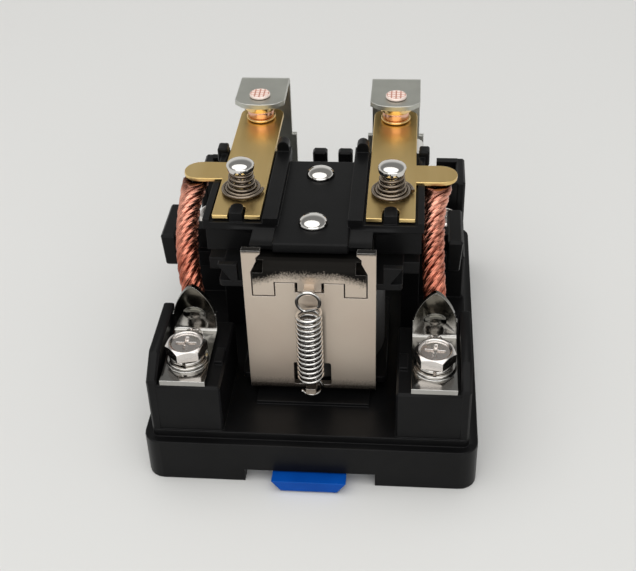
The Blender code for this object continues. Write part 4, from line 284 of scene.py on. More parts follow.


# fade and foot: painted light and shade by height; heights of the border's two ends, its raggedness and how far
# it hangs at the sides, in mm
# springShadow: painted shadow of the return spring on the yoke; half widths of its core and rim, then the four
# heights where it begins, is full, thins and ends, in mm
# edgeHighlightTone and edgeHighlightShare: painted highlight along edges
looks = {
    "blackMoulding": {"tone": (0.004, 0.004, 0.0042), "toneTwo": (0.0055, 0.0055, 0.0058), "metallic": 0.0,
                      "rough": (0.3, 0.38), "specular": 0.14, "edgeHighlightTone": (0.024, 0.024, 0.025),
                      "edgeHighlightShare": 0.5, "edgeRadius": 0.35, "bump": 0.0025, "fineScale": 1600.0},
    "blueMoulding": {"tone": (0.001, 0.06, 0.34), "toneTwo": (0.002, 0.075, 0.4), "metallic": 0.0,
                     "rough": (0.28, 0.38), "specular": 0.12, "edgeHighlightTone": (0.005, 0.16, 0.62),
                     "edgeHighlightShare": 0.5, "edgeRadius": 0.3, "bump": 0.003},
    "yokeNickel": {"tone": (0.61, 0.51, 0.425), "toneTwo": (0.66, 0.57, 0.48), "rough": (0.46, 0.52),
                   "edgeHighlightTone": (0.92, 0.88, 0.84), "edgeHighlightShare": 0.7, "edgeRadius": 0.15, "bump": 0.001,
                   "cloudScale": 45.0, "speckTone": (0.2, 0.17, 0.15), "speckScale": 900.0,
                   "speckAmount": 0.008, "speckSize": 0.22,
                   # fade: painted reflection, the ears' top ends darkened as if mirroring dark surroundings
                   "fadeTone": (0.03, 0.028, 0.026), "fade": (53.7, 54.2, 0.3, 0.0),
                   # foot: painted shade, the yoke darker towards its bottom where it stands in the base
                   "footTone": (0.02, 0.018, 0.016), "foot": (19.2, 15.8, 2.2, 0.0),
                   # painted shadow of the return spring on the yoke
                   "springShadowTone": (0.06, 0.052, 0.046), "springShadow": (2.5, 3.6, 19.0, 21.0, 37.0, 39.5)},
    "armatureNickel": {"tone": (0.61, 0.51, 0.425), "toneTwo": (0.66, 0.57, 0.48), "rough": (0.44, 0.5),
                       "edgeHighlightTone": (0.8, 0.76, 0.72), "edgeHighlightShare": 0.45, "edgeRadius": 0.1, "bump": 0.001,
                       # fade: painted shade and dark reflection, the top bend under the carrier darkened
                       "cloudScale": 45.0, "fadeTone": (0.012, 0.011, 0.01), "fade": (46.9, 49.0, 2.6, 1.6)},
    "brightNickel": {"tone": (0.7, 0.68, 0.65), "toneTwo": (0.76, 0.74, 0.71), "rough": (0.07, 0.12),
                     "edgeHighlightTone": (0.95, 0.94, 0.92), "edgeHighlightShare": 0.6, "edgeRadius": 0.12, "bump": 0.001},
    "screwNickel": {"tone": (0.72, 0.68, 0.65), "toneTwo": (0.78, 0.74, 0.71), "rough": (0.15, 0.22),
                    "edgeHighlightTone": (0.95, 0.93, 0.91), "edgeHighlightShare": 0.6, "edgeRadius": 0.12, "bump": 0.001},
    "platedSheet": {"tone": (0.4, 0.39, 0.37), "toneTwo": (0.46, 0.45, 0.43), "rough": (0.1, 0.16),
                    "edgeHighlightTone": (0.95, 0.94, 0.92), "edgeHighlightShare": 0.8, "edgeRadius": 0.16, "bump": 0.001,
                    # fade: painted reflection, the arched tabs darkened as if mirroring dark surroundings
                    "fadeTone": (0.1, 0.096, 0.08), "fade": (29.5, 33.5, 0.6, 0.0)},
    "zincPlate": {"tone": (0.48, 0.485, 0.44), "toneTwo": (0.545, 0.55, 0.5), "rough": (0.38, 0.46),
                  "edgeHighlightTone": (0.95, 0.95, 0.93), "edgeHighlightShare": 0.9, "edgeRadius": 0.3, "bump": 0.0015},
    "paleBrass": {"tone": (0.79, 0.56, 0.22), "toneTwo": (0.87, 0.64, 0.28), "rough": (0.28, 0.36),
                  "edgeHighlightTone": (0.9, 0.78, 0.5), "edgeHighlightShare": 0.6, "edgeRadius": 0.12, "bump": 0.002,
                  "stretch": (1.0, 0.12, 1.0), "fineScale": 4000.0},
    "braidCopper": {"tone": (0.3, 0.065, 0.036), "toneTwo": (0.74, 0.27, 0.18), "rough": (0.22, 0.32),
                    # crest: painted shade in the grooves between strands
                    "bump": 0.003, "cloudScale": 300.0, "crest": (0.06, 0.01, 0.005),
                    # fade: painted highlight, the upper braid paler where it faces the lamps
                    "fadeTone": (0.86, 0.4, 0.29), "fade": (44.0, 52.0, 7.0, 0.0)},
    "waffleCopper": {"tone": (1.0, 0.8, 0.71), "toneTwo": (1.0, 0.86, 0.79), "rough": (0.35, 0.45),
                     # crest: painted shade in the waffle's grooves
                     "metallic": 0.3, "bump": 0.001, "crest": (0.6, 0.27, 0.2)},
    "contactGold": {"tone": (0.85, 0.58, 0.25), "toneTwo": (0.9, 0.65, 0.32), "rough": (0.2, 0.28),
                    "bump": 0.002},
    "contactCopper": {"tone": (0.82, 0.44, 0.3), "toneTwo": (0.9, 0.54, 0.4), "rough": (0.2, 0.28),
                      "bump": 0.002},
    "springSteel": {"tone": (0.8, 0.78, 0.75), "toneTwo": (0.88, 0.86, 0.83), "rough": (0.08, 0.14),
                    # undersideShadeTone: painted shade on the wire's lower side
                    "bump": 0.001, "undersideShadeTone": (0.05, 0.047, 0.045)},
    "springBronze": {"tone": (0.27, 0.22, 0.17), "toneTwo": (0.36, 0.3, 0.24), "rough": (0.2, 0.28),
                     # undersideShadeTone: painted shade on the wire's lower side
                     "bump": 0.001, "undersideShadeTone": (0.05, 0.036, 0.028)},
    "windingTape": {"tone": (0.014, 0.013, 0.012), "toneTwo": (0.02, 0.018, 0.017), "metallic": 0.0,
                    "rough": (0.4, 0.55), "bump": 0.01, "stretch": (1.0, 1.0, 6.0)},
}
finishes = {name: finish(name, look) for name, look in looks.items()}
print("materials built:", len(finishes))


# mesh helpers

def addObject(name, data):
    piece = bpy.data.objects.new(name, data)
    bpy.context.scene.collection.objects.link(piece)
    return piece


def settle(piece, node, sharpAngle=35.0):
    # smooth faces with sharp edges past the angle, then the piece takes its node's body and place
    piece.data.shade_smooth()
    piece.data.set_sharp_from_angle(angle=math.radians(sharpAngle))
    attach(piece, bodyOf[node])
    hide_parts(node)


mergeWithin = 0.5e-6  # metres; joins the doubled points of a pole or a seam


def meshFromGrid(name, points, material, wrapRows=False, capRows=False):
    # points is rows by columns by 3, each row closed; every four neighbours make a face, all worked out at once
    rows, columns = points.shape[:2]
    index = np.arange(rows * columns).reshape(rows, columns)
    ahead = np.roll(index, -1, axis=0)
    beside = np.roll(index, -1, axis=1)
    corner = np.roll(ahead, -1, axis=1)
    faces = np.stack([index, beside, corner, ahead], axis=-1)
    faces = faces if wrapRows else faces[:-1]
    polygons = faces.reshape(-1, 4).tolist()
    if capRows:
        polygons += [index[0][::-1].tolist(), index[-1].tolist()]
    mesh = bpy.data.meshes.new(name)
    mesh.from_pydata(points.reshape(-1, 3).tolist(), [], polygons)
    work = bmesh.new()
    work.from_mesh(mesh)
    bmesh.ops.remove_doubles(work, verts=work.verts, dist=mergeWithin)
    bmesh.ops.recalc_face_normals(work, faces=work.faces)
    work.to_mesh(mesh)
    work.free()
    mesh.materials.append(material)
    return addObject(name, mesh)


def joinPieces(name, pieces):
    # several closed bodies in one mesh
    work = bmesh.new()
    for piece in pieces:
        work.from_mesh(piece.data)
    mesh = bpy.data.meshes.new(name)
    work.to_mesh(mesh)
    work.free()
    mesh.materials.append(pieces[0].data.materials[0])
    for piece in pieces:
        bpy.data.objects.remove(piece, do_unlink=True)
    return addObject(name, mesh)


def lathe(name, profile, centre, material, count=64):
    # each profile point (radius, height) swept round the vertical through centre
    profile = np.asarray(profile)
    angle = np.linspace(0.0, 2 * np.pi, count, endpoint=False)
    points = np.stack([
        centre[0] + profile[:, :1] * np.cos(angle),
        centre[1] + profile[:, :1] * np.sin(angle),
        np.repeat(profile[:, 1:], count, axis=1),
    ], axis=-1)
    closed = profile[0, 0] > 0.0
    return meshFromGrid(name, points, material, wrapRows=closed)


cornerShare = 0.45  # the most of a side that one rounding takes


def roundCorners(profile, radius, count=4):
    # a profile's inner corners cut by quarter-like arcs: quadratic curves between points set back by radius
    profile = np.asarray(profile, float)
    result = [profile[0]]
    for before, here, after in zip(profile[:-2], profile[1:-1], profile[2:]):
        toBefore, toAfter = before - here, after - here
        reach = min(radius, cornerShare * np.linalg.norm(toBefore), cornerShare * np.linalg.norm(toAfter))
        start = here + toBefore / np.linalg.norm(toBefore) * reach
        end = here + toAfter / np.linalg.norm(toAfter) * reach
        share = np.linspace(0.0, 1.0, count)[:, None]
        result += list(start * (1 - share) ** 2 + here * 2 * share * (1 - share) + end * share ** 2)
    result.append(profile[-1])
    return np.array(result)


acrossFrom = (0.31, 0.17, 0.93)  # a direction that no path starts along


def pathFrames(path):
    # two unit normals at each point, square to the path and carried along it without twist
    tangent = np.gradient(path, axis=0)
    tangent /= np.linalg.norm(tangent, axis=1, keepdims=True)
    first = np.cross(tangent[0], acrossFrom)
    first /= np.linalg.norm(first)
    normals = [first]
    for direction in tangent[1:]:
        carried = normals[-1] - direction * np.dot(normals[-1], direction)
        normals.append(carried / np.linalg.norm(carried))
    normal = np.array(normals)
    return normal, np.cross(tangent, normal)


def tube(name, path, radius, material, count):
    # circle of the given radius carried along the path, with a cap at each end
    normal, binormal = pathFrames(path)
    angle = np.linspace(0.0, 2 * np.pi, count, endpoint=False)
    ring = np.cos(angle)[None, :, None] * normal[:, None] + np.sin(angle)[None, :, None] * binormal[:, None]
    return meshFromGrid(name, path[:, None] + radius * ring, material, capRows=True)


def smoothPath(corners, count):
    # Catmull-Rom curve through the corner points
    corners = np.asarray(corners, float)
    padded = np.vstack([2 * corners[0] - corners[1], corners, 2 * corners[-1] - corners[-2]])
    t = np.linspace(0.0, len(corners) - 1 - 1e-9, count)
    k = t.astype(int)
    f = (t - k)[:, None]
    a, b, c, d = (padded[k + step] for step in range(4))
    square, cube = 2 * a - 5 * b + 4 * c - d, 3 * b - a - 3 * c + d
    return 0.5 * ((2 * b) + (c - a) * f + square * f ** 2 + cube * f ** 3)


dressing = {"merge": 1e-6, "flatAngle": 0.6, "bevelSteps": 2, "sharpAngle": 30.0, "bevelledAngle": 42.0,
            "areaRatio": 6.0, "bend": 0.9995}


def pointsOf(mesh):
    # every vertex's place, as rows of x, y and z
    place = np.empty(len(mesh.vertices) * 3)
    mesh.vertices.foreach_get("co", place)
    return place.reshape(-1, 3)


def markPoints(mesh, level):
    # attribute "crest", which the material reads: its crest tone, painted shade for grooves, at 0, its own
    # tones at 1
    mesh.attributes.new("crest", "FLOAT", "POINT").data.foreach_set("value", level)


def keepFlatsEven(mesh):
    # an edge between a large flat and a narrow facet turns sharp, so no rounding's shade runs out over the flat
    count = len(mesh.polygons)
    area, normal = np.empty(count), np.empty(count * 3)
    mesh.polygons.foreach_get("area", area)
    mesh.polygons.foreach_get("normal", normal)
    normal = normal.reshape(-1, 3)
    loops, starts = np.empty(len(mesh.loops), int), np.empty(count, int)
    mesh.loops.foreach_get("edge_index", loops)
    mesh.polygons.foreach_get("loop_start", starts)
    owner = np.searchsorted(starts, np.arange(len(loops)), side="right") - 1
    order = np.argsort(loops, kind="stable")
    edges = loops[order]
    paired = np.flatnonzero(edges[:-1] == edges[1:])
    first, second = owner[order[paired]], owner[order[paired + 1]]
    larger, smaller = np.maximum(area[first], area[second]), np.minimum(area[first], area[second])
    uneven = larger > dressing["areaRatio"] * smaller
    bent = (normal[first] * normal[second]).sum(axis=1) < dressing["bend"]
    sharp = np.zeros(len(mesh.edges), bool)
    mesh.attributes["sharp_edge"].data.foreach_get("value", sharp)
    sharp[edges[paired]] |= uneven & bent
    mesh.attributes["sharp_edge"].data.foreach_set("value", sharp)


def dressCopy(node, material, bevelWidth):
    # merged copy of a CAD node with its flats joined, its edges rounded and its round stretches smooth
    mesh = nodes[node].data.copy()
    work = bmesh.new()
    work.from_mesh(mesh)
    bmesh.ops.remove_doubles(work, verts=work.verts, dist=dressing["merge"])
    bmesh.ops.dissolve_limit(work, angle_limit=math.radians(dressing["flatAngle"]), verts=work.verts,
                             edges=work.edges)
    work.to_mesh(mesh)
    work.free()
    mesh.materials.clear()
    mesh.materials.append(material)
    piece = addObject(node + "_finished", mesh)
    if bevelWidth > 0.0:
        rounding = piece.modifiers.new("edges", "BEVEL")
        rounding.width = bevelWidth
        rounding.segments = dressing["bevelSteps"]
        rounding.limit_method = "ANGLE"
        rounding.angle_limit = math.radians(dressing["sharpAngle"])
        rounding.use_clamp_overlap = True
        rounding.harden_normals = True
        settle(piece, node, dressing["bevelledAngle"])
    else:
        settle(piece, node, dressing["sharpAngle"])
        keepFlatsEven(mesh)


def centreOf(node):
    low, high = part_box(node)
    return (low + high) / 2


# camera, light and ground

view = {"eye": (0.0216, -0.2221, 0.1872), "heading": -5.84, "pitch": 36.18, "roll": -1.93,
        "focal": 1104.8, "imageWidth": 636, "sensor": 36.0, "clip": 0.01}
ground = {"size": 2.2, "colour": (0.72, 0.72, 0.705), "seen": (0.74, 0.74, 0.725), "rough": 0.9}
studio = {"sky": 0.42, "backdrop": (0.75, 0.75, 0.735), "ceiling": (0.24, 0.24, 0.235), "turn": (0.3, 0.56)}
lampAim = (0, 0, 0.03)
lamps = {
    "softTop": {"place": (-0.12, -0.1, 1.15), "size": (1.7, 1.6), "shape": "ELLIPSE", "power": 9.5,
                "colour": (1.0, 0.99, 0.97)},
    "softFront": {"place": (0.1, -0.95, 0.6), "size": (1.5, 0.5), "shape": "RECTANGLE", "power": 4.0,
                  "colour": (1.0, 1.0, 1.0)},
}


def aim(direction, roll):
    # camera axes from heading and pitch, then turned by roll
    forward = Vector(direction)
    right = forward.cross(Vector((0, 0, 1))).normalized()
    up = right.cross(forward)
    across = math.cos(roll) * right + math.sin(roll) * up
    upward = -math.sin(roll) * right + math.cos(roll) * up
    return Matrix((across, upward, -forward)).transposed()


def makeCamera():
    heading, pitch = math.radians(view["heading"]), math.radians(view["pitch"])
    direction = (math.sin(heading) * math.cos(pitch), math.cos(heading) * math.cos(pitch), -math.sin(pitch))
    data = bpy.data.cameras.new("camera")
    data.sensor_width = view["sensor"]
    data.lens = view["focal"] / view["imageWidth"] * view["sensor"]
    data.clip_start = view["clip"]
    camera = addObject("camera", data)
    camera.matrix_world = Matrix.Translation(view["eye"]) @ aim(direction, math.radians(view["roll"])).to_4x4()
    bpy.context.scene.camera = camera


def makeLamps():
    for name, lamp in lamps.items():
        data = bpy.data.lights.new(name, "AREA")
        data.shape = lamp["shape"]
        data.size, data.size_y = lamp["size"]
        data.energy = lamp["power"]
        data.color = lamp["colour"]
        light = addObject(name, data)
        light.location = lamp["place"]
        toCentre = Vector(lampAim) - Vector(lamp["place"])
        light.rotation_euler = toCentre.to_track_quat("-Z", "Y").to_euler()


def seenRays(tree):
    # 1 for camera, mirror and clear rays, 0 for the rays that only light things
    rays = tree.nodes.new("ShaderNodeLightPath")
    direct = mathNode(tree, "MAXIMUM", rays.outputs["Is Camera Ray"], rays.outputs["Is Glossy Ray"])
    return mathNode(tree, "MAXIMUM", direct, rays.outputs["Is Transmission Ray"])


def makeWorld():
    # the sky lights plainly; camera, mirror and clear rays see the pale backdrop with a dim ceiling over it
    world = bpy.data.worlds.new("studio")
    bpy.context.scene.world = world
    world.use_nodes = True
    tree = world.node_tree
    background = tree.nodes["Background"]
    background.inputs["Color"].default_value = (1.0, 1.0, 1.0, 1.0)
    background.inputs["Strength"].default_value = studio["sky"]
    seen = tree.nodes.new("ShaderNodeBackground")
    place = tree.nodes.new("ShaderNodeTexCoord")
    climb = mapRange(tree, axesOf(tree, place.outputs["Generated"])["Z"], *studio["turn"], 0.0, 1.0)
    climb.node.interpolation_type = "SMOOTHSTEP"
    tree.links.new(mixColour(tree, climb, studio["backdrop"], studio["ceiling"]), seen.inputs["Color"])
    mix = tree.nodes.new("ShaderNodeMixShader")
    tree.links.new(seenRays(tree), mix.inputs["Fac"])
    tree.links.new(background.outputs[0], mix.inputs[1])
    tree.links.new(seen.outputs[0], mix.inputs[2])
    tree.links.new(mix.outputs[0], tree.nodes["World Output"].inputs["Surface"])


def makeGround():
    # one plain square round the origin
    half = ground["size"] / 2
    corners = [(-half, -half, 0), (half, -half, 0), (half, half, 0), (-half, half, 0)]
    mesh = bpy.data.meshes.new("ground")
    mesh.from_pydata(corners, [], [(0, 1, 2, 3)])
    material = bpy.data.materials.new("paleGround")
    material.use_nodes = True
    tree = material.node_tree
    shader = tree.nodes["Principled BSDF"]
    shader.inputs["Roughness"].default_value = ground["rough"]
    colour = mixColour(tree, seenRays(tree), ground["colour"], ground["seen"])
    tree.links.new(colour, shader.inputs["Base Color"])
    mesh.materials.append(material)
    floor = addObject("ground", mesh)


bpy.context.scene.view_settings.view_transform = "Standard"
makeCamera()
makeLamps()
makeWorld()
makeGround()
print("camera, lamps and ground placed")


# mouldings and sheet metal, from their CAD shapes

# each piece's finish, and the width of its rounded edges (mm) where its CAD shape has none
singlePieces = {
    "base": ("blackMoulding", 0.0),
    "bobbin": ("blackMoulding", 0.0),
    "carrier": ("blackMoulding", 0.0),
    "din_latch": ("blueMoulding", 0.0),
    "winding": ("windingTape", 0.0),
    "core": ("zincPlate", 0.1),
    "yoke": ("yokeNickel", 0.0),
    "armature": ("armatureNickel", 0.0),
}
pairedPieces = {
    "contact_arm": ("paleBrass", 0.15),
    "nc_bracket": ("zincPlate", 0.15),
    "no_plate": ("brightNickel", 0.0),
    "common_plate": ("platedSheet", 0.15),
    "coil_terminal": ("brightNickel", 0.08),
    "coil_screw": ("brightNickel", 0.0),
    "no_contact": ("contactGold", 0.08),
}
for node, (style, rounding) in singlePieces.items():
    dressCopy(node, finishes[style], rounding * mm)
for kind, (style, rounding) in pairedPieces.items():
    for side in sides:
        dressCopy(f"{kind}_{side}", finishes[style], rounding * mm)
print("mouldings and sheets dressed")


# turned pieces

def domeProfile(radius, height, top, count=12):
    # quarter ellipse from the crown down to the rim
    angle = np.linspace(0.0, np.pi / 2, count)
    return np.stack([radius * np.sin(angle), top - height * (1 - np.cos(angle))], axis=1)


rivet = {"headRadius": 3.35, "dome": 1.5, "shank": 1.5}


def makeCarrierRivets():
    # domed head on a plain shank
    for node in ("carrier_rivet_front", "carrier_rivet_rear"):
        low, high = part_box(node)
        rim = high.z - rivet["dome"] * mm
        profile = np.vstack([
            domeProfile(rivet["headRadius"] * mm, rivet["dome"] * mm, high.z),
            [(rivet["headRadius"] * mm, rim), (rivet["shank"] * mm, rim),
             (rivet["shank"] * mm, low.z), (0.0, low.z)],
        ])
        settle(lathe(node + "_turned", profile, centreOf(node), finishes["brightNickel"]), node)


stud = {"headRadius": 3.2, "head": 2.3, "shank": 1.6, "domeShare": 0.55, "rimShare": 0.96, "rimHeight": 0.12,
        "seatShare": 0.9}


def makeStuds():
    # domed head whose lower rim is turned back in two steps, on a plain shank
    for side in sides:
        node = "arm_stud_" + side
        low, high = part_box(node)
        under = high.z - stud["head"] * mm
        radius = stud["headRadius"] * mm
        rim = [(stud["rimShare"] * radius, under + stud["rimHeight"] * mm), (stud["seatShare"] * radius, under)]
        shank = [(stud["shank"] * mm, under), (stud["shank"] * mm, low.z), (0.0, low.z)]
        profile = np.vstack([domeProfile(radius, stud["domeShare"] * stud["head"] * mm, high.z), rim, shank])
        settle(lathe(node + "_turned", profile, centreOf(node), finishes["brightNickel"]), node)


contact = {"radius": 4.0, "thickness": 1.6, "rounding": 0.25, "tailRadius": 2.6, "tail": 0.7, "shank": 1.6,
           "wafflePitch": 1.15, "waffleDepth": 0.2, "grooveWidth": 0.55, "plainRim": 0.9, "rimStart": 0.85,
           "rimDrop": 0.3, "markFrom": 0.25, "markSpan": 0.35, "markRim": 0.92, "rings": 40, "around": 120,
           "sharp": 50.0,
           "movingRadius": 3.7, "buttonRadius": 3.3, "buttonRounding": 0.45, "foot": 0.9, "footRounding": 0.3,
           "footGap": 0.2, "seam": 0.01}


def makeFixedContacts():
    # disc under the bracket, turned; its tail on top is a disc whose height follows a grid of grooves, each the
    # low part of a sine across x or y, and drops at the rim with the square of the way out
    for side in sides:
        node = "nc_contact_" + side
        low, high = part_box(node)
        centre = centreOf(node)
        radius = contact["radius"] * mm
        shank = contact["shank"] * mm
        discTop = low.z + contact["thickness"] * mm
        tailLow = high.z - contact["tail"] * mm
        disc = roundCorners([(0.0, low.z), (radius, low.z), (radius, discTop), (shank, discTop),
                             (shank, tailLow), (0.0, tailLow)], contact["rounding"] * mm)
        settle(lathe(node + "_disc", disc[::-1], centre, finishes["contactGold"]), node)
        share = np.linspace(0.0, 1.0, contact["rings"])[:, None]
        angle = np.linspace(0.0, 2 * np.pi, contact["around"], endpoint=False)[None, :]
        reach = contact["tailRadius"] * mm * share
        x, y = reach * np.cos(angle), reach * np.sin(angle)
        pitch = contact["wafflePitch"] * mm
        groove = np.minimum(np.abs(np.sin(np.pi * x / pitch)), np.abs(np.sin(np.pi * y / pitch)))
        inside = share < contact["plainRim"]
        dip = contact["waffleDepth"] * mm * (1 - np.clip(groove / contact["grooveWidth"], 0, 1)) * inside
        outward = np.clip((share - contact["rimStart"]) / (1 - contact["rimStart"]), 0, 1)
        height = high.z - dip - contact["rimDrop"] * mm * outward ** 2
        top = np.stack([centre.x + x, centre.y + y, height], axis=-1)
        foot = np.stack([centre.x + x[-1:], centre.y + y[-1:], np.full_like(x[-1:], tailLow)], axis=-1)
        core = np.stack([centre.x + 0 * x[-1:], centre.y + 0 * y[-1:], np.full_like(x[-1:], tailLow)], axis=-1)
        tail = meshFromGrid(node + "_tail", np.concatenate([top, foot, core]), finishes["waffleCopper"])
        markWaffle(tail.data, centre)
        settle(tail, node, contact["sharp"])


def markWaffle(mesh, centre):
    # 1 on the squares that the riveting tool leaves, 0 in the grooves between them, where a sine is low; the
    # grooves get painted shade
    across = (pointsOf(mesh)[:, :2] - np.array(centre[:2])) / (contact["wafflePitch"] * mm)
    groove = np.abs(np.sin(np.pi * across)).min(axis=1)
    reach = np.linalg.norm(across, axis=1) * contact["wafflePitch"]
    level = np.clip((groove - contact["markFrom"]) / contact["markSpan"], 0, 1)
    markPoints(mesh, np.maximum(level, reach > contact["markRim"] * contact["tailRadius"]))


def makeMovingContacts():
    # copper button on a wider gold-toned foot, both turned, with the shank and the button below the arm
    for side in sides:
        node = "moving_contact_" + side
        low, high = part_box(node)
        armLow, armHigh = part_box("contact_arm_" + side)
        radius, shank = contact["movingRadius"] * mm, contact["shank"] * mm
        button, foot = contact["buttonRadius"] * mm, armHigh.z + contact["foot"] * mm
        upper = roundCorners([(0.0, high.z), (button, high.z), (button, foot), (0.0, foot)],
                             contact["buttonRounding"] * mm)
        settle(lathe(node + "_button", upper, centreOf(node), finishes["contactCopper"]), node)
        seam = foot - contact["seam"] * mm
        above, below = armHigh.z + contact["footGap"] * mm, armLow.z - contact["footGap"] * mm
        lower = roundCorners([(0.0, seam), (radius, seam), (radius, above), (shank, above), (shank, below),
                              (radius, below), (radius, low.z), (0.0, low.z)], contact["footRounding"] * mm)
        settle(lathe(node + "_foot", lower, centreOf(node), finishes["contactGold"]), node)


makeCarrierRivets()
makeStuds()
makeFixedContacts()
makeMovingContacts()
print("turned pieces made")


# screws and washers

# rimSteps and topSteps: out and up (mm) from the rim's inner edge and from the head's top circle
screw = {"flats": 8.2, "head": 2.7, "chamfer": 0.55, "chamferStart": 0.08, "topInset": 0.15, "rim": 0.45,
         "rimSteps": ((-0.1, -0.12), (0.05, -0.02), (0.2, 0.0)), "topSteps": ((-0.12, 0.0), (-0.02, -0.04)),
         "seatEdge": 0.1, "dish": 0.5, "dishInset": 0.25, "thread": 4.8,
         "rings": 46, "around": 180, "sharp": 28.0,
         "crossLength": 4.6, "crossWidth": 0.85, "crossDepth": 0.75, "crossEnd": 0.3, "crossSide": 0.18,
         "smallRadius": 2.3, "smallHead": 1.9, "smallThread": 2.4, "smallCross": 0.62,
         "crownDrop": 0.6, "crownPower": 3.5, "smallRings": 44, "smallAround": 120, "smallSharp": 30.0}


def crossDip(x, y, share):
    # depth of the cross recess at x, y: deepest on the arms' middle lines, fading at their ends
    length, width = screw["crossLength"] * share / 2 * mm, screw["crossWidth"] * share / 2 * mm
    end, side = screw["crossEnd"] * mm, screw["crossSide"] * mm
    alongX = np.clip((length - np.abs(x)) / end, 0, 1) * np.clip((width - np.abs(y)) / side, 0, 1)
    alongY = np.clip((length - np.abs(y)) / end, 0, 1) * np.clip((width - np.abs(x)) / side, 0, 1)
    return screw["crossDepth"] * share * mm * np.maximum(alongX, alongY)


def hexRadius(angle, apothem, turn):
    # distance from the middle to a hexagon's side in each direction
    local = np.mod(angle - turn + np.pi / 6, np.pi / 3) - np.pi / 6
    return apothem / np.cos(local)


def ringPoints(angle, radius, height):
    # closed rows of points round the screw's axis, at one radius and height or at one for each point
    reach = radius + 0 * angle
    return np.stack([reach * np.cos(angle), reach * np.sin(angle), height + 0 * angle], axis=-1)


def settleScrew(node, rows, centre, sharpAngle):
    # rows from the middle of the head's top over its side and down the shank, moved from the axis to the node
    points = np.concatenate(rows)
    points[..., :2] += (centre.x, centre.y)
    settle(meshFromGrid(node + "_head", points, finishes["screwNickel"]), node, sharpAngle)


def hexScrew(node, turn, crossTurn):
    # six-sided head whose top corners are turned off, a raised rim, a dished top and a cross recess
    low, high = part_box(node)
    seat = high.z - screw["head"] * mm
    apothem = screw["flats"] / 2 * mm
    angle = np.linspace(0.0, 2 * np.pi, screw["around"], endpoint=False)[None, :]
    hexagon = hexRadius(angle, apothem, turn)
    topRadius = apothem - screw["topInset"] * mm
    rimInner = topRadius - screw["rim"] * mm
    share = np.linspace(0.0, 1.0, screw["rings"])[:, None]
    reach = share * (rimInner - screw["dishInset"] * mm)
    x, y = reach * np.cos(angle - crossTurn), reach * np.sin(angle - crossTurn)
    rows = [ringPoints(angle, reach, high.z - screw["dish"] * mm - crossDip(x, y, 1.0))]
    for start, steps in ((rimInner, screw["rimSteps"]), (topRadius, screw["topSteps"])):
        rows += [ringPoints(angle, start + out * mm, high.z + up * mm) for out, up in steps]
    # cone from the top circle out to the hexagon: the height drops with how far the hexagon reaches
    corner = apothem * (2 / math.sqrt(3) - 1)
    drop = screw["chamfer"] * mm * (hexagon - apothem) / corner + screw["chamferStart"] * mm
    rows.append(ringPoints(angle, hexagon, high.z - drop))
    edge = screw["seatEdge"] * mm
    shank = screw["thread"] / 2 * mm
    for radius, height in ((hexagon, seat + edge), (hexagon - edge, seat), (shank, seat), (shank, low.z),
                           (0.0, low.z)):
        rows.append(ringPoints(angle, radius, height))
    settleScrew(node, rows, centreOf(node), screw["sharp"])


def panScrew(node, turn):
    # low domed head with a cross recess, on a plain shank; the crown drops with a power of the way out
    low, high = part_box(node)
    angle = np.linspace(0.0, 2 * np.pi, screw["smallAround"], endpoint=False)[None, :]
    radius, head = screw["smallRadius"] * mm, screw["smallHead"] * mm
    seat = high.z - head
    share = np.linspace(0.0, 1.0, screw["smallRings"])[:, None]
    reach = radius * share
    x, y = reach * np.cos(angle - turn), reach * np.sin(angle - turn)
    crown = high.z - screw["crownDrop"] * head * share ** screw["crownPower"]
    rows = [ringPoints(angle, reach, crown - crossDip(x, y, screw["smallCross"]))]
    shank = screw["smallThread"] / 2 * mm
    for ringRadius, height in ((radius, seat), (shank, seat), (shank, low.z), (0.0, low.z)):
        rows.append(ringPoints(angle, ringRadius, height))
    settleScrew(node, rows, centreOf(node), screw["smallSharp"])


ring = {"inner": 2.7, "rounding": 0.14, "lip": 0.05, "around": 96, "halfCut": 0.09, "climb": 0.25, "wire": 0.75,
        "soft": 0.1, "steps": 90, "sharp": 50.0}


def washer(node):
    # flat ring with softly rounded rims
    low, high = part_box(node)
    outer, inner = (high.x - low.x) / 2, ring["inner"] * mm
    corners = [(inner, high.z), (outer, high.z), (outer, low.z), (inner, low.z),
               (inner, high.z - ring["lip"] * mm)]
    profile = roundCorners(corners, ring["rounding"] * mm)[:-1]
    turned = lathe(node + "_ring", profile, centreOf(node), finishes["brightNickel"], ring["around"])
    settle(turned, node, ring["sharp"])


def splitWasher(node):
    # one turn of square wire that climbs by a share of its height, cut at the front
    low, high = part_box(node)
    centre = centreOf(node)
    outer, inner = (high.x - low.x) / 2, ring["inner"] * mm
    angle = np.linspace(-np.pi / 2 + ring["halfCut"], 1.5 * np.pi - ring["halfCut"], ring["steps"])[:, None]
    thick = high.z - low.z
    wire, soft = ring["wire"] * thick, ring["soft"] * mm
    climb = ring["climb"] * thick * (angle - angle[0]) / (angle[-1] - angle[0])
    radius = np.array([inner, inner, inner + soft, outer - soft, outer, outer, outer - soft, inner + soft])
    height = np.array([soft, wire - soft, wire, wire, wire - soft, soft, 0, 0])
    points = np.stack([centre.x + radius * np.cos(angle), centre.y + radius * np.sin(angle),
                       low.z + height + climb], axis=-1)
    wound = meshFromGrid(node + "_ring", points, finishes["brightNickel"], capRows=True)
    settle(wound, node, ring["sharp"])


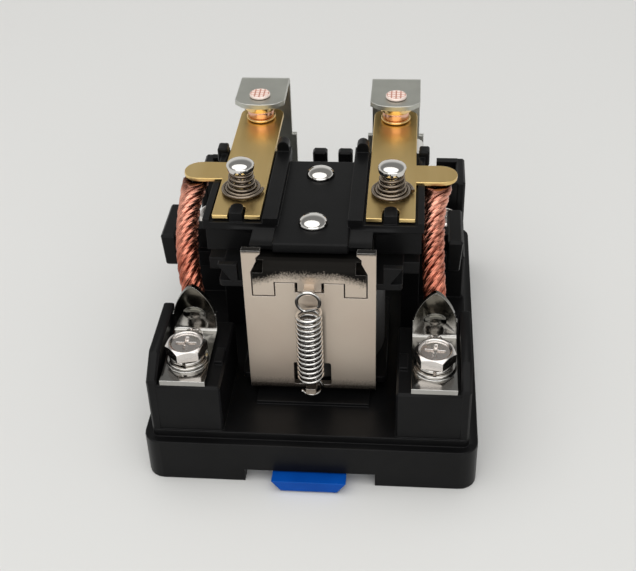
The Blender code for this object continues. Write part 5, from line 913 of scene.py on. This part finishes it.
# how far each hexagon is turned, in degrees; its cross turns with it by a share of that, off a start of its own
screwTurns = {"common_screw_left": 44.0, "common_screw_right": 20.0, "no_screw_left": 0.0,
              "no_screw_right": 0.0, "nc_screw_left": 30.0, "nc_screw_right": 30.0}
crossTurns = {"share": 0.3, "start": -12.0, "small": 35.0}
for node, turn in screwTurns.items():
    hexScrew(node, math.radians(turn), math.radians(crossTurns["share"] * turn + crossTurns["start"]))
for side in sides:
    panScrew("fixing_screw_" + side, math.radians(crossTurns["small"]))
    for kind in ("common_washer", "no_washer", "nc_washer"):
        washer(f"{kind}_{side}")
    splitWasher("common_spring_washer_" + side)
print("screws and washers made")


# springs

# hook and eye: where their rings begin and end, in degrees, and their points; trim: points off the coil's ends
returnSpring = {"wire": 0.78, "coilRadius": 2.63, "turns": 14, "turnPoints": 30, "trim": 4, "around": 14,
                "bottom": 22.4, "top": 41.0, "eyeRadius": 2.5, "hook": (-60.0, 165.0, 24),
                "eye": (195.0, 480.0, 30)}


def makeReturnSpring():
    # helix with a hook below and an eye above, each a ring turned across the coil's axis
    node = "return_spring"
    low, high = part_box(node)
    axisX, axisY = (low.x + high.x) / 2, (low.y + high.y) / 2
    wire, eye = returnSpring["wire"] / 2 * mm, returnSpring["eyeRadius"] * mm
    coil = returnSpring["coilRadius"] * mm
    foot = low.z + wire
    hook = np.radians(np.linspace(*returnSpring["hook"]))
    lower = np.stack([axisX + eye * np.sin(hook), axisY + 0 * hook, foot + eye - eye * np.cos(hook)], axis=1)
    turns, trim = returnSpring["turns"], returnSpring["trim"]
    swing = np.linspace(0.0, 2 * np.pi * turns, turns * returnSpring["turnPoints"] + 1)
    rise = swing / swing[-1]
    bottom, top = returnSpring["bottom"] * mm, returnSpring["top"] * mm
    body = np.stack([axisX + coil * np.cos(swing + np.pi / 2), axisY + coil * np.sin(swing + np.pi / 2),
                     bottom + (top - bottom) * rise], axis=1)
    loop = np.radians(np.linspace(*returnSpring["eye"]))
    crown = high.z - wire - eye
    upper = np.stack([axisX + eye * np.sin(loop), axisY + 0 * loop, crown + eye * np.cos(loop)], axis=1)
    corners = np.vstack([lower, body[trim:-trim], upper])
    path = smoothPath(corners, len(corners) * 2)
    spring = tube(node + "_wire", path, wire, finishes["springSteel"], returnSpring["around"])
    spring.data.shade_smooth()
    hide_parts(node)
    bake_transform(spring)


# radii: at the foot, where the flat spiral ends, and under the stud's head
coneSpring = {"wire": 0.85, "radii": (4.75, 2.9, 2.4), "flatTurns": 2.1, "flatRise": 0.13, "pitch": 1.15,
              "steps": 420, "around": 14, "sharp": 60.0}


def makeConeSprings():
    # a flat spiral that narrows by the wire's thickness in each turn, then a cone up to the stud's head
    for side, hand in sides.items():
        node = "contact_spring_" + side
        low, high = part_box(node)
        centre = centreOf("arm_stud_" + side)
        wire = coneSpring["wire"] / 2 * mm
        climb = high.z - low.z - 2 * wire
        flat, rise = coneSpring["flatTurns"], coneSpring["flatRise"]
        turns = flat + climb * (1 - rise) / (coneSpring["pitch"] * mm)
        turn = np.linspace(0.0, turns, coneSpring["steps"])
        inward = np.clip(turn / flat, 0, 1)
        steep = np.clip((turn - flat) / (turns - flat), 0, 1)
        radius = np.interp(turn, (0.0, flat, turns), np.array(coneSpring["radii"]) * mm)
        angle = hand * 2 * np.pi * turn
        height = low.z + wire + climb * (rise * inward ** 2 + (1 - rise) * steep)
        path = np.stack([centre.x + radius * np.cos(angle), centre.y + radius * np.sin(angle), height], axis=1)
        spring = tube(node + "_wire", path, wire, finishes["springBronze"], coneSpring["around"])
        settle(spring, node, coneSpring["sharp"])


# pressed: 11 mm long at rest, 7 mm with the latch out
latchSpring = {"wire": 0.35, "radius": 0.95, "turns": 5, "pressed": 7 / 11, "steps": 200, "around": 10}


def makeLatchSpring():
    # plain helix along the slot
    node = "latch_spring"
    low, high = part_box(node)
    centre = centreOf(node)
    wire = latchSpring["wire"] / 2 * mm
    share = np.linspace(0.0, 1.0, latchSpring["steps"])
    angle = 2 * np.pi * latchSpring["turns"] * share
    radius = latchSpring["radius"] * mm
    along = low.y + wire + (high.y - low.y - 2 * wire) * share
    path = np.stack([centre.x + radius * np.cos(angle), along, centre.z + radius * np.sin(angle)], axis=1)
    spring = tube(node + "_wire", path, wire, finishes["springSteel"], latchSpring["around"])
    spring.data.shade_smooth()
    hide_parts(node)
    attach(spring, "frame")
    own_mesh(spring)


makeReturnSpring()
makeConeSprings()
makeLatchSpring()
print("springs wound")


# braids

# radiiAt: where along the braid it has its bottom, middle, middle and top radius
braid = {"bottomRadius": 2.65, "middleRadius": 2.7, "topRadius": {"left": 3.45, "right": 3.85},
         "radiiAt": (0.0, 0.5, 0.75, 1.0),
         "strands": 6, "lay": 16.0, "overlap": 1.08, "draw": 0.86,
         "wires": 9, "wirePoints": 5, "wireDip": 0.16, "wireLay": 40.0, "endDip": 0.25,
         "tabWidth": 7.8, "tabMiddle": 2.1, "plate": 1.3, "archBase": 4.4, "pathRadius": 2.9,
         "gap": 0.3, "weld": 0.08, "sink": 0.75, "press": 1.6, "sections": 170,
         "lean": {"left": 4.4, "right": -2.4}, "footLean": {"left": 1.6, "right": -0.6},
         "footRise": 0.9, "topDrop": 0.75, "topBack": 0.5,
         "crestFrom": 0.7, "crestSpan": 0.25, "tabShadowDepth": 1.8, "tabShadowLeast": 0.3}


def braidPath(side, hand):
    # cubic curve from behind the arched tab up to the underside of the arm's side tab
    plateLow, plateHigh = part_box("common_plate_" + side)
    armLow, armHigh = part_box("contact_arm_" + side)
    radius = braid["pathRadius"] * mm
    reach = max(abs(armLow.x), abs(armHigh.x)) - braid["tabWidth"] / 2 * mm
    start = np.array([(plateLow.x + plateHigh.x) / 2, plateHigh.y - braid["sink"] * mm + radius,
                      plateLow.z + (braid["plate"] + braid["archBase"]) * mm])
    end = np.array([hand * reach, braid["tabMiddle"] * mm, armLow.z + radius / 2])
    lift = 0.5 * (end[2] - start[2])
    first = start + (hand * braid["footLean"][side] * mm, 0, braid["footRise"] * lift)
    second = end + (hand * braid["lean"][side] * mm, -braid["topBack"] * lift, -braid["topDrop"] * lift)
    t = np.linspace(0.0, 1.0, braid["sections"])[:, None]
    return start * (1 - t) ** 3 + first * 3 * t * (1 - t) ** 2 + second * 3 * t ** 2 * (1 - t) + end * t ** 3


def makeBraid(side, hand):
    # strands in a helix round the path, each a circle with one lobe for every wire, the lobes turning along it;
    # at both ends the strands draw together, their lobes fade, and the two tabs press them flat
    node = "braid_" + side
    path = braidPath(side, hand)
    normal, binormal = pathFrames(path)
    length = np.concatenate([[0.0], np.cumsum(np.linalg.norm(np.diff(path, axis=0), axis=1))])
    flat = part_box("contact_arm_" + side)[0].z - braid["gap"] * mm
    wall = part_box("common_plate_" + side)[1].y + braid["weld"] * mm
    under = length[np.searchsorted(path[:, 2], flat)]
    ends = np.clip(np.minimum(length, under - length) / (braid["press"] * mm), 0, 1)
    share = length / length[-1]
    radii = (braid["bottomRadius"], braid["middleRadius"], braid["middleRadius"], braid["topRadius"][side])
    whole = np.interp(share, braid["radiiAt"], np.array(radii) * mm)
    count = braid["strands"]
    packing = math.sin(math.pi / count)
    strandRadius = whole * packing / (1 + packing) * braid["overlap"]
    layRadius = (whole - strandRadius) * (braid["draw"] + (1 - braid["draw"]) * ends)
    around = np.linspace(0.0, 2 * np.pi, braid["wires"] * braid["wirePoints"], endpoint=False)
    lobes = braid["wireDip"] * mm * (1 - np.abs(np.cos(braid["wires"] * around / 2)))[None, :]
    radius = strandRadius[:, None] - lobes * (braid["endDip"] + (1 - braid["endDip"]) * ends)[:, None]
    turning = around[None, :] + 2 * np.pi * length[:, None] / (braid["wireLay"] * mm)
    pieces = []
    for strand in range(count):
        angle = 2 * np.pi * (length / (braid["lay"] * mm) + strand / count)
        outward = np.cos(angle)[:, None] * normal + np.sin(angle)[:, None] * binormal
        centre = path + layRadius[:, None] * outward
        along = np.gradient(centre, axis=0)
        along /= np.linalg.norm(along, axis=1, keepdims=True)
        sideways = np.cross(along, outward)
        sideways /= np.linalg.norm(sideways, axis=1, keepdims=True)
        outward = np.cross(sideways, along)
        points = (centre[:, None] + (radius * np.cos(turning))[..., None] * outward[:, None]
                  + (radius * np.sin(turning))[..., None] * sideways[:, None])
        points[..., 2] = np.minimum(points[..., 2], flat)
        points[..., 1] = np.maximum(points[..., 1], wall)
        pieces.append(meshFromGrid(f"{node}_strand_{strand}", points, finishes["braidCopper"], capRows=True))
    rope = joinPieces(node + "_strands", pieces)
    markCrests(rope.data, path, whole)
    rope.data.shade_smooth()
    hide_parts(node)
    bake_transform(rope)


def markCrests(mesh, path, whole):
    # 0 in the grooves between strands, which get painted shade, 1 on their outer sides, by distance from the
    # path, and less close to the top, under the tab that presses on them, as painted shadow of the tab
    place = pointsOf(mesh)
    apart = np.linalg.norm(place[:, None] - path[None, ::3], axis=2)
    nearest = apart.argmin(axis=1)
    level = apart.min(axis=1) / whole[::3][nearest]
    crest = np.clip((level - braid["crestFrom"]) / braid["crestSpan"], 0, 1)
    below = (place[:, 2].max() - place[:, 2]) / (braid["tabShadowDepth"] * mm)
    markPoints(mesh, crest * np.clip(below, braid["tabShadowLeast"], 1))


for side, hand in sides.items():
    makeBraid(side, hand)
print("braids laid")
